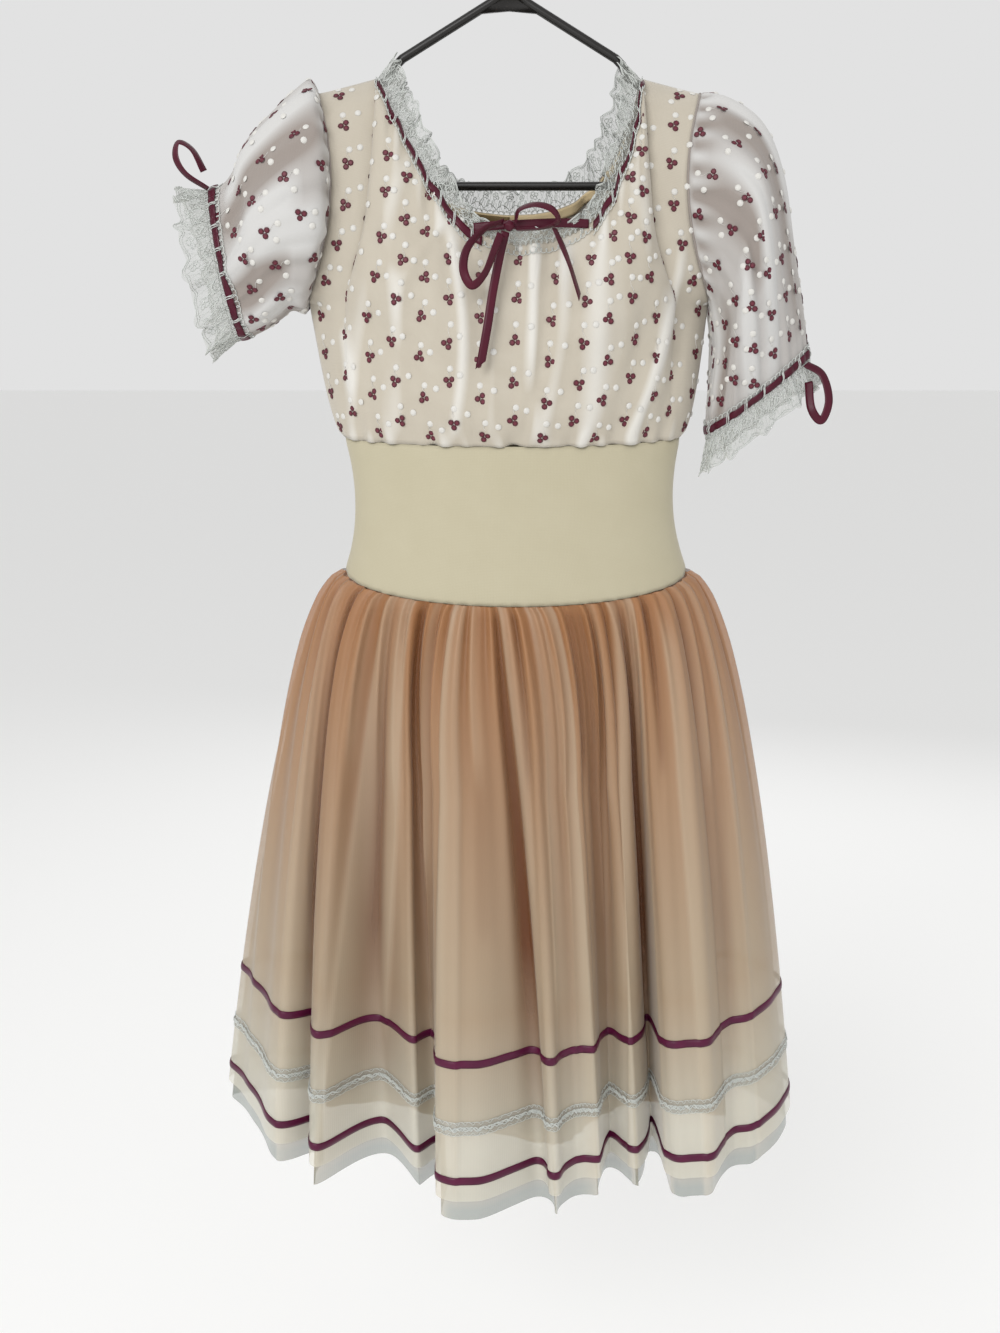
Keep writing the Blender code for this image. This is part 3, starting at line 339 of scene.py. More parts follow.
ARMHOLE_STEPS = 46
SIDE_STEPS = 24
VOILE_THICKNESS = 0.35 * MM
VOILE_PITCH = 0.9 * MM
BODICE_FLAT = (0.39, 0.25)
CREASE_FADE = 0.08

# Each crease runs from a top point to a low one, bowed sideways, and stands out or in by start and end.
Crease = namedtuple("Crease", "top_x top_z low_x low_z bow start end width")
FRONT_CREASES = (
    Crease(-44, -258, -42, -404, 9, 2.6, 2.0, 4.5),
    Crease(-60, -262, -66, -404, -5, -2.2, -1.6, 9.0),
    Crease(18, -270, 19, -408, -1, 2.4, 1.2, 4.2),
    Crease(5, -272, 2, -408, 0, -1.8, -1.2, 7.0),
    Crease(40, -272, 24, -404, 6, 2.2, 1.6, 6.0),
    Crease(30, -270, 10, -408, 4, -1.4, -2.2, 5.0),
    Crease(66, -262, 60, -404, 4, 1.5, 2.0, 9.0),
    Crease(131, -262, 92, -404, 5, 2.0, 3.0, 5.0),
    Crease(112, -240, 78, -400, 6, -1.8, -2.0, 8.0),
    Crease(138, -300, 112, -402, 3, -1.5, -2.0, 6.0),
    Crease(-48, -250, -84, -330, -10, 1.8, 1.0, 6.0),
    Crease(-84, -290, -86, -400, 4, 1.6, 1.2, 7.0),
    Crease(-100, -250, -112, -395, 6, -1.8, -1.4, 8.0),
    Crease(-72, -200, -118, -360, -6, 1.2, 1.4, 7.0),
    Crease(-18, -272, -14, -406, 3, 1.3, 1.0, 5.0),
    Crease(-28, -268, -26, -402, 6, -1.6, -1.2, 5.5),
    Crease(-125, -330, -118, -404, 2, 1.5, 1.8, 5.0),
    Crease(88, -215, 100, -330, 8, 1.2, 0.4, 7.0),
)
BACK_CREASES = (
    Crease(-60, -225, -70, -402, 6, 2.0, 1.6, 6.0),
    Crease(-30, -238, -34, -404, -4, -1.8, -1.5, 7.0),
    Crease(4, -240, -2, -404, 3, 2.2, 1.6, 5.0),
    Crease(34, -238, 30, -404, -5, -1.6, -1.2, 8.0),
    Crease(62, -225, 68, -402, 4, 1.9, 1.6, 6.0),
    Crease(100, -230, 104, -400, 5, -1.4, -1.8, 8.0),
    Crease(-104, -235, -108, -400, -5, 1.4, 1.6, 8.0),
    Crease(-88, -215, -92, -400, 4, -1.4, -1.6, 6.0),
)


def catmull(values, samples, closed=False):
    """A smooth line through rows of values, with a number of samples from each to the next."""
    values = np.asarray(values, dtype=float)
    if closed:
        ring = np.concatenate([values[-1:], values, values[:2]])
    else:
        first = 2.0 * values[0] - values[1]
        last = 2.0 * values[-1] - values[-2]
        ring = np.concatenate([[first], values, [last]])
    t = (np.arange(samples) / samples).reshape((1, samples) + (1,) * (values.ndim - 1))
    before, start, end, after = (ring[shift:len(ring) - 3 + shift][:, None] for shift in range(4))
    line = 0.5 * (2.0 * start + (end - before) * t
                  + (2.0 * before - 5.0 * start + 4.0 * end - after) * t ** 2
                  + (3.0 * start - before - 3.0 * end + after) * t ** 3)
    line = line.reshape((-1,) + values.shape[1:])
    return line if closed else np.concatenate([line, values[-1:]])


def neck_line(table, sign, deep):
    """Even points along a neckline, viewer's left to right."""
    plan = catmull([(row.x * MM, row.z * MM) for row in table], 24)
    plan = along_line(plan, 2 * NECK_STEPS + 1)
    share = np.clip((SHOULDER_NECK[1] - plan[:, 1]) / (SHOULDER_NECK[1] - plan[:, 1].min()), 0.0, 1.0)
    return np.stack([plan[:, 0], sign * deep * share ** NECK_ROUNDNESS, plan[:, 1]], axis=1)


def armhole(turns, side, depth):
    """Points of the armhole's edge; turns run from the shoulder tip (0) to the underarm (pi)."""
    share = (1.0 - np.cos(turns)) / 2.0
    x = SHOULDER_TIP[0] + (UNDERARM[0] - SHOULDER_TIP[0]) * share - ARMHOLE_HOLLOW * np.sin(turns) ** 2
    z = SHOULDER_TIP[1] + (UNDERARM[1] - SHOULDER_TIP[1]) * share
    return np.stack([side * x, depth * np.sin(turns), z], axis=-1)


def bodice_top(table, sign, deep):
    """The bodice's upper edge from one shoulder tip over the neck to the other."""
    share = np.arange(SHOULDER_STEPS)[:, None] / SHOULDER_STEPS
    tip = np.array([-SHOULDER_TIP[0], 0.0, SHOULDER_TIP[1]])
    neck = np.array([-SHOULDER_NECK[0], 0.0, SHOULDER_NECK[1]])
    left = tip + (neck - tip) * share
    right = left[::-1] * np.array([-1.0, 1.0, 1.0])
    return np.concatenate([left, neck_line(table, sign, deep), right])


def bodice_side(side, sign):
    """The bodice's side edge: up the side seam to the underarm, then up the armhole."""
    start = np.array([BAND_TOP.centre_x + side * BAND_TOP.half_width, 0.0, BAND_TOP.z])
    underarm = armhole(math.pi, side, 0.0)
    share = np.linspace(0.0, 1.0, SIDE_STEPS, endpoint=False)[:, None]
    seam = start + (underarm - start) * share
    seam[:, 0] += side * BLOUSE * np.sin(math.pi * share[:, 0] ** 0.5)
    turns = math.pi * (1.0 - np.arange(ARMHOLE_STEPS + 1) / ARMHOLE_STEPS)
    return np.concatenate([seam, armhole(turns, side, sign * ARMHOLE_DEPTH)])


def crease_field(points, table):
    """How far soft creases stand out at each point: a bell across each crease, fading at its ends."""
    field = np.zeros(points.shape[:2])
    for crease in table:
        share = (crease.top_z * MM - points[:, :, 2]) / ((crease.top_z - crease.low_z) * MM)
        inside = np.clip(share, 0.0, 1.0)
        line_x = (crease.top_x + (crease.low_x - crease.top_x) * inside
                  + crease.bow * np.sin(math.pi * inside))
        bell = np.exp(-((points[:, :, 0] - line_x * MM) / (crease.width * MM)) ** 2)
        past = np.exp(-((share - inside) / CREASE_FADE) ** 2)
        field += bell * past * (crease.start + (crease.end - crease.start) * inside)
    return field


def sheet_normals(grid, closed=False):
    """Unit normals of a sheet, as its rows and columns run."""
    if closed:
        across = np.roll(grid, -1, axis=1) - np.roll(grid, 1, axis=1)
    else:
        across = np.gradient(grid, axis=1)
    normals = np.cross(across, np.gradient(grid, axis=0))
    return normals / np.maximum(np.linalg.norm(normals, axis=2, keepdims=True), 1e-12)


def bodice_sheet(table, sign, deep, creases):
    """Points, outward normals and fold height of a bodice half, rows from the waist seam up."""
    top = bodice_top(table, sign, deep)
    count = len(top)
    seam = girth_line(BAND_TOP, sign, count)
    left = bodice_side(-1, sign)
    right = bodice_side(1, sign)
    across = np.linspace(0.0, 1.0, count)
    inside = np.sin(math.pi * across)
    edge = np.minimum(1.0, inside / 0.2)
    shoulder = np.minimum(1.0, np.abs(top[:, 0]) / SHOULDER_NECK[0]) ** 3 * edge
    run = np.gradient(top, axis=0)
    away = np.stack([run[:, 2], np.zeros(count), -run[:, 0]], axis=1)
    away /= np.linalg.norm(away, axis=1, keepdims=True)
    rise = ((left[:, 2] - left[0, 2]) / (left[-1, 2] - left[0, 2]))[:, None, None]
    blend = across[None, :, None]
    straight = seam * (1.0 - rise) + top * rise + away * NECK_SWEEP * (1.0 - rise) * rise ** 4
    ends = left[:, None] * (1.0 - blend) + right[:, None] * blend
    corners = ((left[0] * (1.0 - blend) + right[0] * blend) * (1.0 - rise)
               + (left[-1] * (1.0 - blend) + right[-1] * blend) * rise)
    bend = ends - corners
    bend[:, :, 1] *= 1.0 - inside
    grid = straight + bend
    rise = rise[:, :, 0]
    puff = BLOUSE * np.sin(math.pi * np.minimum(1.0, rise / 0.3) ** 0.6)
    swell = BUST_SWELL * np.sin(math.pi * rise ** 0.85)
    ease = SHOULDER_EASE * (np.sqrt(1.0 - rise) - (1.0 - rise))
    grid[:, :, 1] += sign * (inside * swell + edge * puff + shoulder * ease)
    spread = np.exp(-(np.arange(-14, 15) / 7.0) ** 2)
    spread /= spread.sum()
    above = 2.0 * grid[-1] - grid[-15:-1][::-1]
    below = 2.0 * grid[0] - grid[1:15][::-1]
    tall = np.concatenate([below, grid, above])
    eased = sum(weight * tall[shift:shift + len(grid)] for shift, weight in enumerate(spread))
    share = np.clip((inside - 0.02) / 0.2, 0.0, 1.0)[None, :, None]
    grid = grid * (1.0 - share) + eased * share
    grid[:, 0] = left
    grid[:, -1] = right
    normals = sheet_normals(grid)
    if np.sum(normals[:, :, 1]) * sign < 0.0:
        normals = -normals
    place = across[None, :] * count / FINE
    near_neck = np.exp(-((1.0 - rise) / 0.13) ** 2)
    near_waist = np.exp(-(rise / 0.07) ** 2)
    plain = np.clip((np.minimum(across, 1.0 - across)[None, :] - 0.13) / 0.06, 0.0, 1.0)
    gather = 1.1 * np.cos(math.pi * place) + 0.7 * np.cos(1.37 * math.pi * place + 1.1)
    field = gather * np.maximum(near_neck * plain, near_waist * edge)
    long_fold = (0.55 * np.cos(0.61 * math.pi * place + 0.9)
                 + 0.45 * np.cos(0.37 * math.pi * place + 2.0 * rise))
    long_fold = long_fold * np.sin(math.pi * np.clip(rise * 1.1, 0.0, 1.0))
    field += (long_fold + crease_field(grid, creases)) * edge
    return grid + normals * field[:, :, None] * MM, normals, field


def fold_marks(field, low, high):
    """Fold heights as a share from 0 in a trough to 1 on a ridge."""
    return {"ridge": np.clip((field - low) / (high - low), 0.0, 1.0)}


def paint_ridge_highlight(material, woven_dye, highlight_white, start, end):
    """Painted highlight: turn the weave's colour to white from one height of a fold's ridge to another."""
    ridge = add_node(material, "ShaderNodeAttribute", attribute_name="ridge")
    ridge_highlight_share = add_node(material, "ShaderNodeMapRange",
                      {"Value": ridge.outputs["Fac"], "From Min": start, "From Max": end}, clamp=True)
    dye = add_node(material, "ShaderNodeMix",
                   {0: ridge_highlight_share.outputs["Result"], 6: woven_dye.outputs[2], 7: linear(highlight_white)},
                   data_type="RGBA")
    join_input(material, dye.outputs[2], "Base Color")


# Cotton voile over a cream lining: matt, airy, whiter where it lifts off or doubles, and painted highlight
# whitens the ridges of its folds.
cotton_voile = new_finish("embroidered_cotton_voile", "#C6BEB0", 0.86, Sheen_Weight=0.3, Sheen_Roughness=0.5)
woven = knit_or_weave(cotton_voile, "#C3BCAE", "#B1A898", VOILE_PITCH, 0.1 * MM, 0.6)
paint_ridge_highlight(cotton_voile, woven, "#D3D0C9", 0.50, 0.86)

front_grid, front_normals, front_field = bodice_sheet(NECK_FRONT, -1, NECK_FRONT_DEPTH, FRONT_CREASES)
back_grid, back_normals, back_field = bodice_sheet(NECK_BACK, 1, NECK_BACK_DEPTH, BACK_CREASES)
bodice_front = sheet_mesh("bodice_front_voile", front_grid, BODICE_FLAT,
                          marks=fold_marks(front_field, -2.5, 3.0))
bodice_back = sheet_mesh("bodice_back_voile", back_grid, BODICE_FLAT,
                         marks=fold_marks(back_field, -2.5, 3.0))
for panel, node in ((bodice_front, "bodice_front"), (bodice_back, "bodice_back")):
    thicken(panel, VOILE_THICKNESS)
    sew_on(panel, cotton_voile, "voile", node)

# Sleeves
# Short puffed sleeves of the same voile, gathered into the armhole and into a ribbon at the cuff.
# The left one is pushed up and leans over the bodice; the right one hangs.
SleeveRing = namedtuple("SleeveRing", "top_x top_z low_x low_z front back lean gather")
SLEEVE_RIGHT = (
    SleeveRing(160, -154, 157, -316, 48, 44, -2, 2.4),
    SleeveRing(187, -172, 160, -338, 55, 48, 2, 2.0),
    SleeveRing(205, -206, 159, -360, 54, 47, 0, 1.2),
    SleeveRing(217, -255, 157, -380, 47, 42, 0, 1.2),
    SleeveRing(228, -308, 156, -395, 36, 34, 0, 2.0),
    SleeveRing(234, -345, 157, -405, 27, 26, 0, 1.6),
)
SLEEVE_LEFT = (
    SleeveRing(151, -143, 158, -312, 56, 44, -17, 2.4),
    SleeveRing(172, -160, 168, -310, 60, 48, -8, 2.0),
    SleeveRing(197, -185, 176, -316, 55, 46, 0, 1.2),
    SleeveRing(208, -206, 188, -324, 45, 40, 0, 1.4),
    SleeveRing(218, -217, 200, -329, 36, 33, 0, 2.0),
    SleeveRing(228, -221, 209, -331, 28, 27, 0, 1.6),
)
SleeveFold = namedtuple("SleeveFold", "turn drift start end depth width")
FOLDS_RIGHT = (
    SleeveFold(20, 10, 0.0, 0.7, 2.6, 9),
    SleeveFold(44, -6, 0.0, 0.9, -2.2, 10),
    SleeveFold(66, 14, 0.1, 1.0, 2.4, 8),
    SleeveFold(92, -10, 0.0, 0.6, -2.4, 11),
    SleeveFold(112, -12, 0.3, 1.0, 2.4, 9),
    SleeveFold(138, 8, 0.2, 1.0, -2.0, 9),
    SleeveFold(160, 0, 0.0, 0.8, 2.0, 10),
    SleeveFold(205, 8, 0.0, 0.8, 2.2, 10),
    SleeveFold(240, -8, 0.2, 1.0, -2.0, 12),
    SleeveFold(275, 8, 0.0, 0.9, 2.4, 10),
    SleeveFold(320, 6, 0.1, 1.0, -2.0, 12),
)
FOLDS_LEFT = (
    SleeveFold(30, 22, 0.0, 0.8, 3.0, 9),
    SleeveFold(58, 10, 0.1, 0.9, -3.6, 11),
    SleeveFold(80, 22, 0.25, 1.0, 3.2, 9),
    SleeveFold(108, 0, 0.0, 0.6, 3.0, 10),
    SleeveFold(128, -8, 0.3, 1.0, -3.4, 12),
    SleeveFold(152, -6, 0.2, 0.9, 2.8, 9),
    SleeveFold(176, 0, 0.1, 1.0, -1.6, 8),
    SleeveFold(215, 8, 0.0, 0.8, 2.4, 10),
    SleeveFold(250, -8, 0.2, 1.0, -2.2, 12),
    SleeveFold(290, 8, 0.0, 0.9, 2.4, 10),
    SleeveFold(330, 6, 0.1, 1.0, -2.2, 12),
)
SLEEVE_FLAT = (0.40, 0.13)
ARMHOLE_CORD = 0.9 * MM
SLEEVE_GATHERS = 18
SLEEVE_COLUMNS = 216
SLEEVE_ROWS = 12


def sleeve_ring(row, side):
    """One ring of a sleeve: an oval between its upper and lower point, waved by its gathers."""
    turns = np.arange(SLEEVE_COLUMNS) * 2.0 * math.pi / SLEEVE_COLUMNS
    top = np.array([side * row.top_x, 0.0, row.top_z]) * MM
    low = np.array([side * row.low_x, 0.0, row.low_z]) * MM
    wave = (np.cos(SLEEVE_GATHERS * turns) * 0.7 + 0.5 * np.cos(29 * turns + 1.0)) * row.gather * MM / 2.0
    half = (top - low) / 2.0
    reach = 1.0 + wave / np.linalg.norm(half)
    depth = np.where(np.sin(turns) > 0.0, row.front, row.back) * MM + wave
    points = (top + low) / 2.0 + half * (np.cos(turns) * reach)[:, None]
    points[:, 1] -= np.sin(turns) * depth
    points[:, 0] += side * row.lean * MM * np.clip(np.sin(turns), 0.0, 1.0) ** 2
    return points


def armhole_ring(side):
    """The sleeve's head, just outside the bodice's armhole."""
    turns = np.arange(SLEEVE_COLUMNS) * 2.0 * math.pi / SLEEVE_COLUMNS
    down = np.minimum(turns, 2.0 * math.pi - turns)
    points = armhole(down, side, -ARMHOLE_DEPTH)
    points[:, 0] += side * 0.6 * MM
    points[:, 1] = np.where(turns <= math.pi, points[:, 1], -points[:, 1])
    return points


def sleeve_sheet(table, folds, side):
    """Points, outward normals and fold height of a sleeve, rows from the armhole to the cuff."""
    rings = [armhole_ring(side)] + [sleeve_ring(row, side) for row in table]
    grid = catmull(np.array(rings), SLEEVE_ROWS)
    normals = sheet_normals(grid, closed=True)
    if np.sum(normals * (grid - grid.mean(axis=1, keepdims=True))) < 0.0:
        normals = -normals
    down = np.linspace(0.0, 1.0, len(grid))[:, None]
    turns = np.arange(SLEEVE_COLUMNS)[None, :] * 360.0 / SLEEVE_COLUMNS
    field = np.zeros(grid.shape[:2])
    for fold in folds:
        apart = (turns - fold.turn - fold.drift * down + 180.0) % 360.0 - 180.0
        inside = np.clip((down - fold.start) / (fold.end - fold.start), 0.0, 1.0)
        field += fold.depth * np.exp(-(apart / fold.width) ** 2) * np.sin(math.pi * inside) ** 0.7
    head = 1.4 * np.exp(-(down / 0.10) ** 2) * np.cos(math.radians(1.0) * turns * 26)
    field += head * np.minimum(1.0, down / 0.03)
    return grid + normals * field[:, :, None] * MM, normals, field


def tubes(lines, radius, sides=3):
    """Threads as one array of points and faces: a thin tube along each line, closed at its ends."""
    points = []
    faces = []
    turns = np.arange(sides) * 2.0 * math.pi / sides
    base = 0
    for line in lines:
        line = np.asarray(line)
        along = np.gradient(line, axis=0)
        along /= np.maximum(np.linalg.norm(along, axis=1, keepdims=True), 1e-12)
        guide = np.where(np.abs(along[:, 1:2]) > 0.9, [[1.0, 0.0, 0.0]], [[0.0, 1.0, 0.0]])
        side_way = np.cross(along, guide)
        side_way /= np.linalg.norm(side_way, axis=1, keepdims=True)
        other_way = np.cross(along, side_way)
        ring = (side_way[:, None] * np.cos(turns)[None, :, None]
                + other_way[:, None] * np.sin(turns)[None, :, None])
        points.append((line[:, None] + ring * radius).reshape(-1, 3))
        for step in range(len(line) - 1):
            for side in range(sides):
                a = base + step * sides + side
                b = base + step * sides + (side + 1) % sides
                faces.append((a, b, b + sides, a + sides))
        faces.append(tuple(base + side for side in reversed(range(sides))))
        end = base + (len(line) - 1) * sides
        faces.append(tuple(end + side for side in range(sides)))
        base += len(line) * sides
    return np.concatenate(points), faces


def plain_mesh(name, points, faces, marks=None):
    """A finished mesh from points and faces."""
    mesh = bpy.data.meshes.new(name)
    mesh.from_pydata(np.asarray(points).tolist(), [], faces)
    mesh.polygons.foreach_set("use_smooth", [True] * len(mesh.polygons))
    for label, values in (marks or {}).items():
        attribute = mesh.attributes.new(label, "FLOAT", "POINT")
        attribute.data.foreach_set("value", np.asarray(values, dtype=np.float32))
    mesh.update()
    piece = bpy.data.objects.new(name, mesh)
    bpy.context.scene.collection.objects.link(piece)
    return piece


# The sleeve's voile has no lining, so it looks cooler; the tan deep in its folds is painted shade, and the
# white on their ridges is painted highlight.
sleeve_voile = new_finish("unlined_cotton_voile", "#B9B6B2", 0.86, Sheen_Weight=0.3, Sheen_Roughness=0.5)
woven = knit_or_weave(sleeve_voile, "#9C948E", "#887E77", VOILE_PITCH, 0.1 * MM, 0.6)
paint_ridge_highlight(sleeve_voile, woven, "#C3C2C0", 0.25, 0.66)

SLEEVES = (
    ("right", SLEEVE_RIGHT, FOLDS_RIGHT, 1),
    ("left", SLEEVE_LEFT, FOLDS_LEFT, -1),
)
sleeve_sheets = {}
for name, table, folds, side in SLEEVES:
    sleeve_sheets[name] = sleeve_sheet(table, folds, side)
    grid, normals, field = sleeve_sheets[name]
    sleeve = sheet_mesh("sleeve_" + name + "_voile", grid, SLEEVE_FLAT, closed=True,
                        marks=fold_marks(field, -3.0, 3.5))
    thicken(sleeve, VOILE_THICKNESS)
    sew_on(sleeve, sleeve_voile, "voile", "sleeve_" + name)

# The armhole seams are rolled and overcast, and stand as a thin cord between bodice and sleeve.
for name, _, _, side in SLEEVES:
    ring = armhole_ring(side)
    points, faces = tubes([np.concatenate([ring, ring[:2]])], ARMHOLE_CORD, 6)
    seam = plain_mesh("armhole_seam_" + name, points, faces)
    sew_on(seam, sleeve_voile, "voile")

# Embroidery
# Machine satin stitch on the voile: trefoils of three dark red berries with paler middles,
# pairs of raised white dots between them, and thin white tendrils. The rows step by half a repeat.
BERRY_RADIUS = 2.3 * MM
BERRY_SPREAD = 2.6 * MM
DOT_RADIUS = 2.5 * MM
MOTIF_ROW = 29.5 * MM
MOTIF_STEP = 13.0 * MM
MOTIF_MARGIN = 6 * MM
BODICE_COLUMNS = 15
SLEEVE_MOTIF_COLUMNS = 16
TENDRIL_RADIUS = 0.22 * MM
TENDRIL_SWAY = 1.4 * MM
# Each sprig has one dot straight above it, on its tendril, and one to its upper right.
SprigDot = namedtuple("SprigDot", "across above tendril")
SPRIG_DOTS = (
    SprigDot(1.0, 11.0, True),
    SprigDot(10.5, 8.0, False),
)


def domes(centres, rights, ups, normals, radius, heights, sides):
    """Many low domes as one array of points and faces: rings at shares of the radius, then a middle."""
    turns = np.arange(sides) * 2.0 * math.pi / sides
    points = []
    for share, height in heights:
        flat = rights[:, None] * np.cos(turns)[None, :, None] + ups[:, None] * np.sin(turns)[None, :, None]
        points.append(centres[:, None] + flat * radius * share + normals[:, None] * height)
    rings = len(heights)
    middle = centres[:, None] + normals[:, None] * heights[-1][1] * 0.75
    points = np.concatenate(points + [middle], axis=1)
    faces = []
    for ring in range(rings - 1):
        for side in range(sides):
            after = (side + 1) % sides
            faces.append((ring * sides + side, ring * sides + after,
                          (ring + 1) * sides + after, (ring + 1) * sides + side))
    for side in range(sides):
        last = (rings - 1) * sides
        faces.append((last + side, last + (side + 1) % sides, rings * sides))
    each = rings * sides + 1
    centre_mark = np.concatenate([np.full(sides, 1.0 - share) for share, height in heights] + [[1.0]])
    all_faces = [tuple(corner + each * copy for corner in face)
                 for copy in range(len(centres)) for face in faces]
    return points.reshape(-1, 3), all_faces, np.tile(centre_mark, len(centres))


def reach_along(line):
    """The distance of each point from a line's first point, along the line."""
    return np.concatenate([[0.0], np.cumsum(np.linalg.norm(np.diff(line, axis=0), axis=1))])


def sites(grid, closed, columns):
    """Even sites up each of a number of columns of a sheet, measured along the cloth itself."""
    found = []
    width = grid.shape[1]
    for index in range(columns):
        share = (index + 0.5) / columns
        column = int(share * width) if closed else int(share * (width - 1))
        line = grid[:, column]
        reach = reach_along(line)
        distance = MOTIF_MARGIN + (MOTIF_STEP if index % 2 else 0.0)
        while distance < reach[-1] - 5 * MM:
            row = int(np.searchsorted(reach, distance))
            found.append((row, column, index))
            distance += MOTIF_ROW
    return found


def stitch_frame(grid, normals, row, column):
    """A point of a sheet with its right, up and outward directions."""
    outward = normals[row, column]
    above = grid[min(row + 1, len(grid) - 1), column] - grid[max(row - 1, 0), column]
    above = above - outward * np.dot(above, outward)
    above /= np.linalg.norm(above)
    if above[2] < 0.0:
        above = -above
    right = np.cross(above, outward)
    return grid[row, column], right / np.linalg.norm(right), above, outward


# Rayon embroidery thread: dark wine red, silky, paler towards the middle of each berry.
berry_thread = new_finish("wine_rayon_thread", "#6B1C30", 0.5)
centre = add_node(berry_thread, "ShaderNodeAttribute", attribute_name="centre")
berry_pale = add_node(berry_thread, "ShaderNodeMapRange",
                      {"Value": centre.outputs["Fac"], "From Min": 0.35, "From Max": 0.9}, clamp=True)
berry_dye = add_node(berry_thread, "ShaderNodeMix",
                     {0: berry_pale.outputs["Result"], 6: linear("#4C0A1C"), 7: linear("#6E2034")},
                     data_type="RGBA")
join_input(berry_thread, berry_dye.outputs[2], "Base Color")
berry_place = add_node(berry_thread, "ShaderNodeTexCoord")
stitches = add_node(berry_thread, "ShaderNodeTexNoise",
                    {"Vector": berry_place.outputs["Object"], "Scale": 1900.0})
stitch_relief = add_node(berry_thread, "ShaderNodeBump",
                         {"Height": stitches.outputs["Fac"], "Strength": 0.6, "Distance": 0.3 * MM})
join_input(berry_thread, stitch_relief.outputs["Normal"], "Normal")

# Bright white mercerised cotton thread, a little glossy.
white_thread = new_finish("white_cotton_thread", "#F2F1EC", 0.55, Sheen_Weight=0.3)
cotton_place = add_node(white_thread, "ShaderNodeTexCoord")
strands = add_node(white_thread, "ShaderNodeTexNoise",
                   {"Vector": cotton_place.outputs["Object"], "Scale": 1500.0})
strand_relief = add_node(white_thread, "ShaderNodeBump",
                         {"Height": strands.outputs["Fac"], "Strength": 0.4, "Distance": 0.2 * MM})
join_input(white_thread, strand_relief.outputs["Normal"], "Normal")
white_dye = add_node(white_thread, "ShaderNodeMix",
                     {0: strands.outputs["Fac"], 6: linear("#C4C2BC"), 7: linear("#DAD8D3")},
                     data_type="RGBA")
join_input(white_thread, white_dye.outputs[2], "Base Color")

random = np.random.default_rng(11)
EMBROIDERED = (
    ("bodice_front", front_grid, front_normals, False, BODICE_COLUMNS),
    ("bodice_back", back_grid, back_normals, False, BODICE_COLUMNS),
    ("sleeve_right",) + sleeve_sheets["right"][:2] + (True, SLEEVE_MOTIF_COLUMNS),
    ("sleeve_left",) + sleeve_sheets["left"][:2] + (True, SLEEVE_MOTIF_COLUMNS),
)
for name, grid, normals, closed, columns in EMBROIDERED:
    berries = []
    dots = []
    tendrils = []
    for row, column, index in sites(grid, closed, columns):
        point, right, up, outward = stitch_frame(grid, normals, row, column)
        tilt = random.uniform(-0.5, 0.5) + (math.pi if index % 3 == 1 else 0.0)
        lifted_point = point + outward * 0.15 * MM
        column_width = np.linalg.norm(grid[row, (column + 1) % grid.shape[1]] - grid[row, column])
        for petal in range(3):
            turn = tilt + petal * 2.0 * math.pi / 3.0 + math.pi / 6.0
            berries.append((lifted_point + (right * math.cos(turn) + up * math.sin(turn)) * BERRY_SPREAD,
                            right, up, outward))
        for dot in SPRIG_DOTS:
            far_column = column + int(round(dot.across * MM / column_width))
            far_column = far_column % grid.shape[1] if closed else min(far_column, grid.shape[1] - 1)
            next_row = min(row + 1, len(grid) - 1)
            step = np.linalg.norm(grid[next_row, far_column] - grid[row - 1, far_column]) / 2.0
            rows_up = int(round(dot.above * MM / max(step, 1e-5)))
            far_row = row + (rows_up if not closed else -rows_up)
            if not 1 <= far_row < len(grid) - 1:
                continue
            spot, spot_right, spot_up, spot_out = stitch_frame(grid, normals, far_row, far_column)
            dots.append((spot + spot_out * 0.1 * MM, spot_right, spot_up, spot_out))
            if dot.tendril:
                share = np.linspace(0.0, 1.0, 9)[:, None]
                sway = np.sin(share * 2.0 * math.pi) * TENDRIL_SWAY
                tendrils.append(lifted_point + (spot - point) * share + right * sway + outward * 0.1 * MM)
    frames = [np.array([entry[part] for entry in berries]) for part in range(4)]
    points, faces, marks = domes(*frames, BERRY_RADIUS,
                                 ((1.0, 0.0), (0.82, 0.55 * MM), (0.45, 0.62 * MM)), 8)
    berry_piece = plain_mesh(name + "_berries", points, faces, {"centre": marks})
    sew_on(berry_piece, berry_thread, "voile")
    frames = [np.array([entry[part] for entry in dots]) for part in range(4)]
    points, faces, marks = domes(*frames, DOT_RADIUS, ((1.0, 0.0), (0.8, 0.6 * MM), (0.4, 1.0 * MM)), 9)
    dot_piece = plain_mesh(name + "_dots", points, faces, {"centre": marks})
    sew_on(dot_piece, white_thread, "voile")
    points, faces = tubes(tendrils, TENDRIL_RADIUS)
    tendril_piece = plain_mesh(name + "_tendrils", points, faces)
    sew_on(tendril_piece, white_thread, "voile")

# Skirt
# Three layers gathered into the midriff seam: a crisp organza overskirt, a longer organza underskirt
# and a shorter peach lining. The folds stand out most at the front, and the hems are plain and sheer.
FoldLine = namedtuple("FoldLine", "kind hip_x hem_x hem_y")
SKIRT_FRONT = (
    FoldLine("side", -186, -228, 0),
    FoldLine("crest", -168, -198, -56),
    FoldLine("valley", -150, -164, -40),
    FoldLine("crest", -138, -161, -78),
    FoldLine("valley", -105, -107, -26),
    FoldLine("crest", -82, -76, -70),
    FoldLine("valley", -66, -55, -48),
    FoldLine("crest", -54, -57, -102),
    FoldLine("crest", -26, -24, -112),
    FoldLine("valley", 3, 24, -80),
    FoldLine("crest", 24, 40, -101),
    FoldLine("valley", 42, 57, -77),
    FoldLine("crest", 58, 78, -74),
    FoldLine("valley", 72, 87, -38),
    FoldLine("crest", 88, 110, -68),
    FoldLine("valley", 103, 126, -20),
    FoldLine("crest", 118, 136, -86),
    FoldLine("crest", 142, 166, -90),
    FoldLine("valley", 163, 190, -60),
    FoldLine("crest", 184, 216, -54),
)
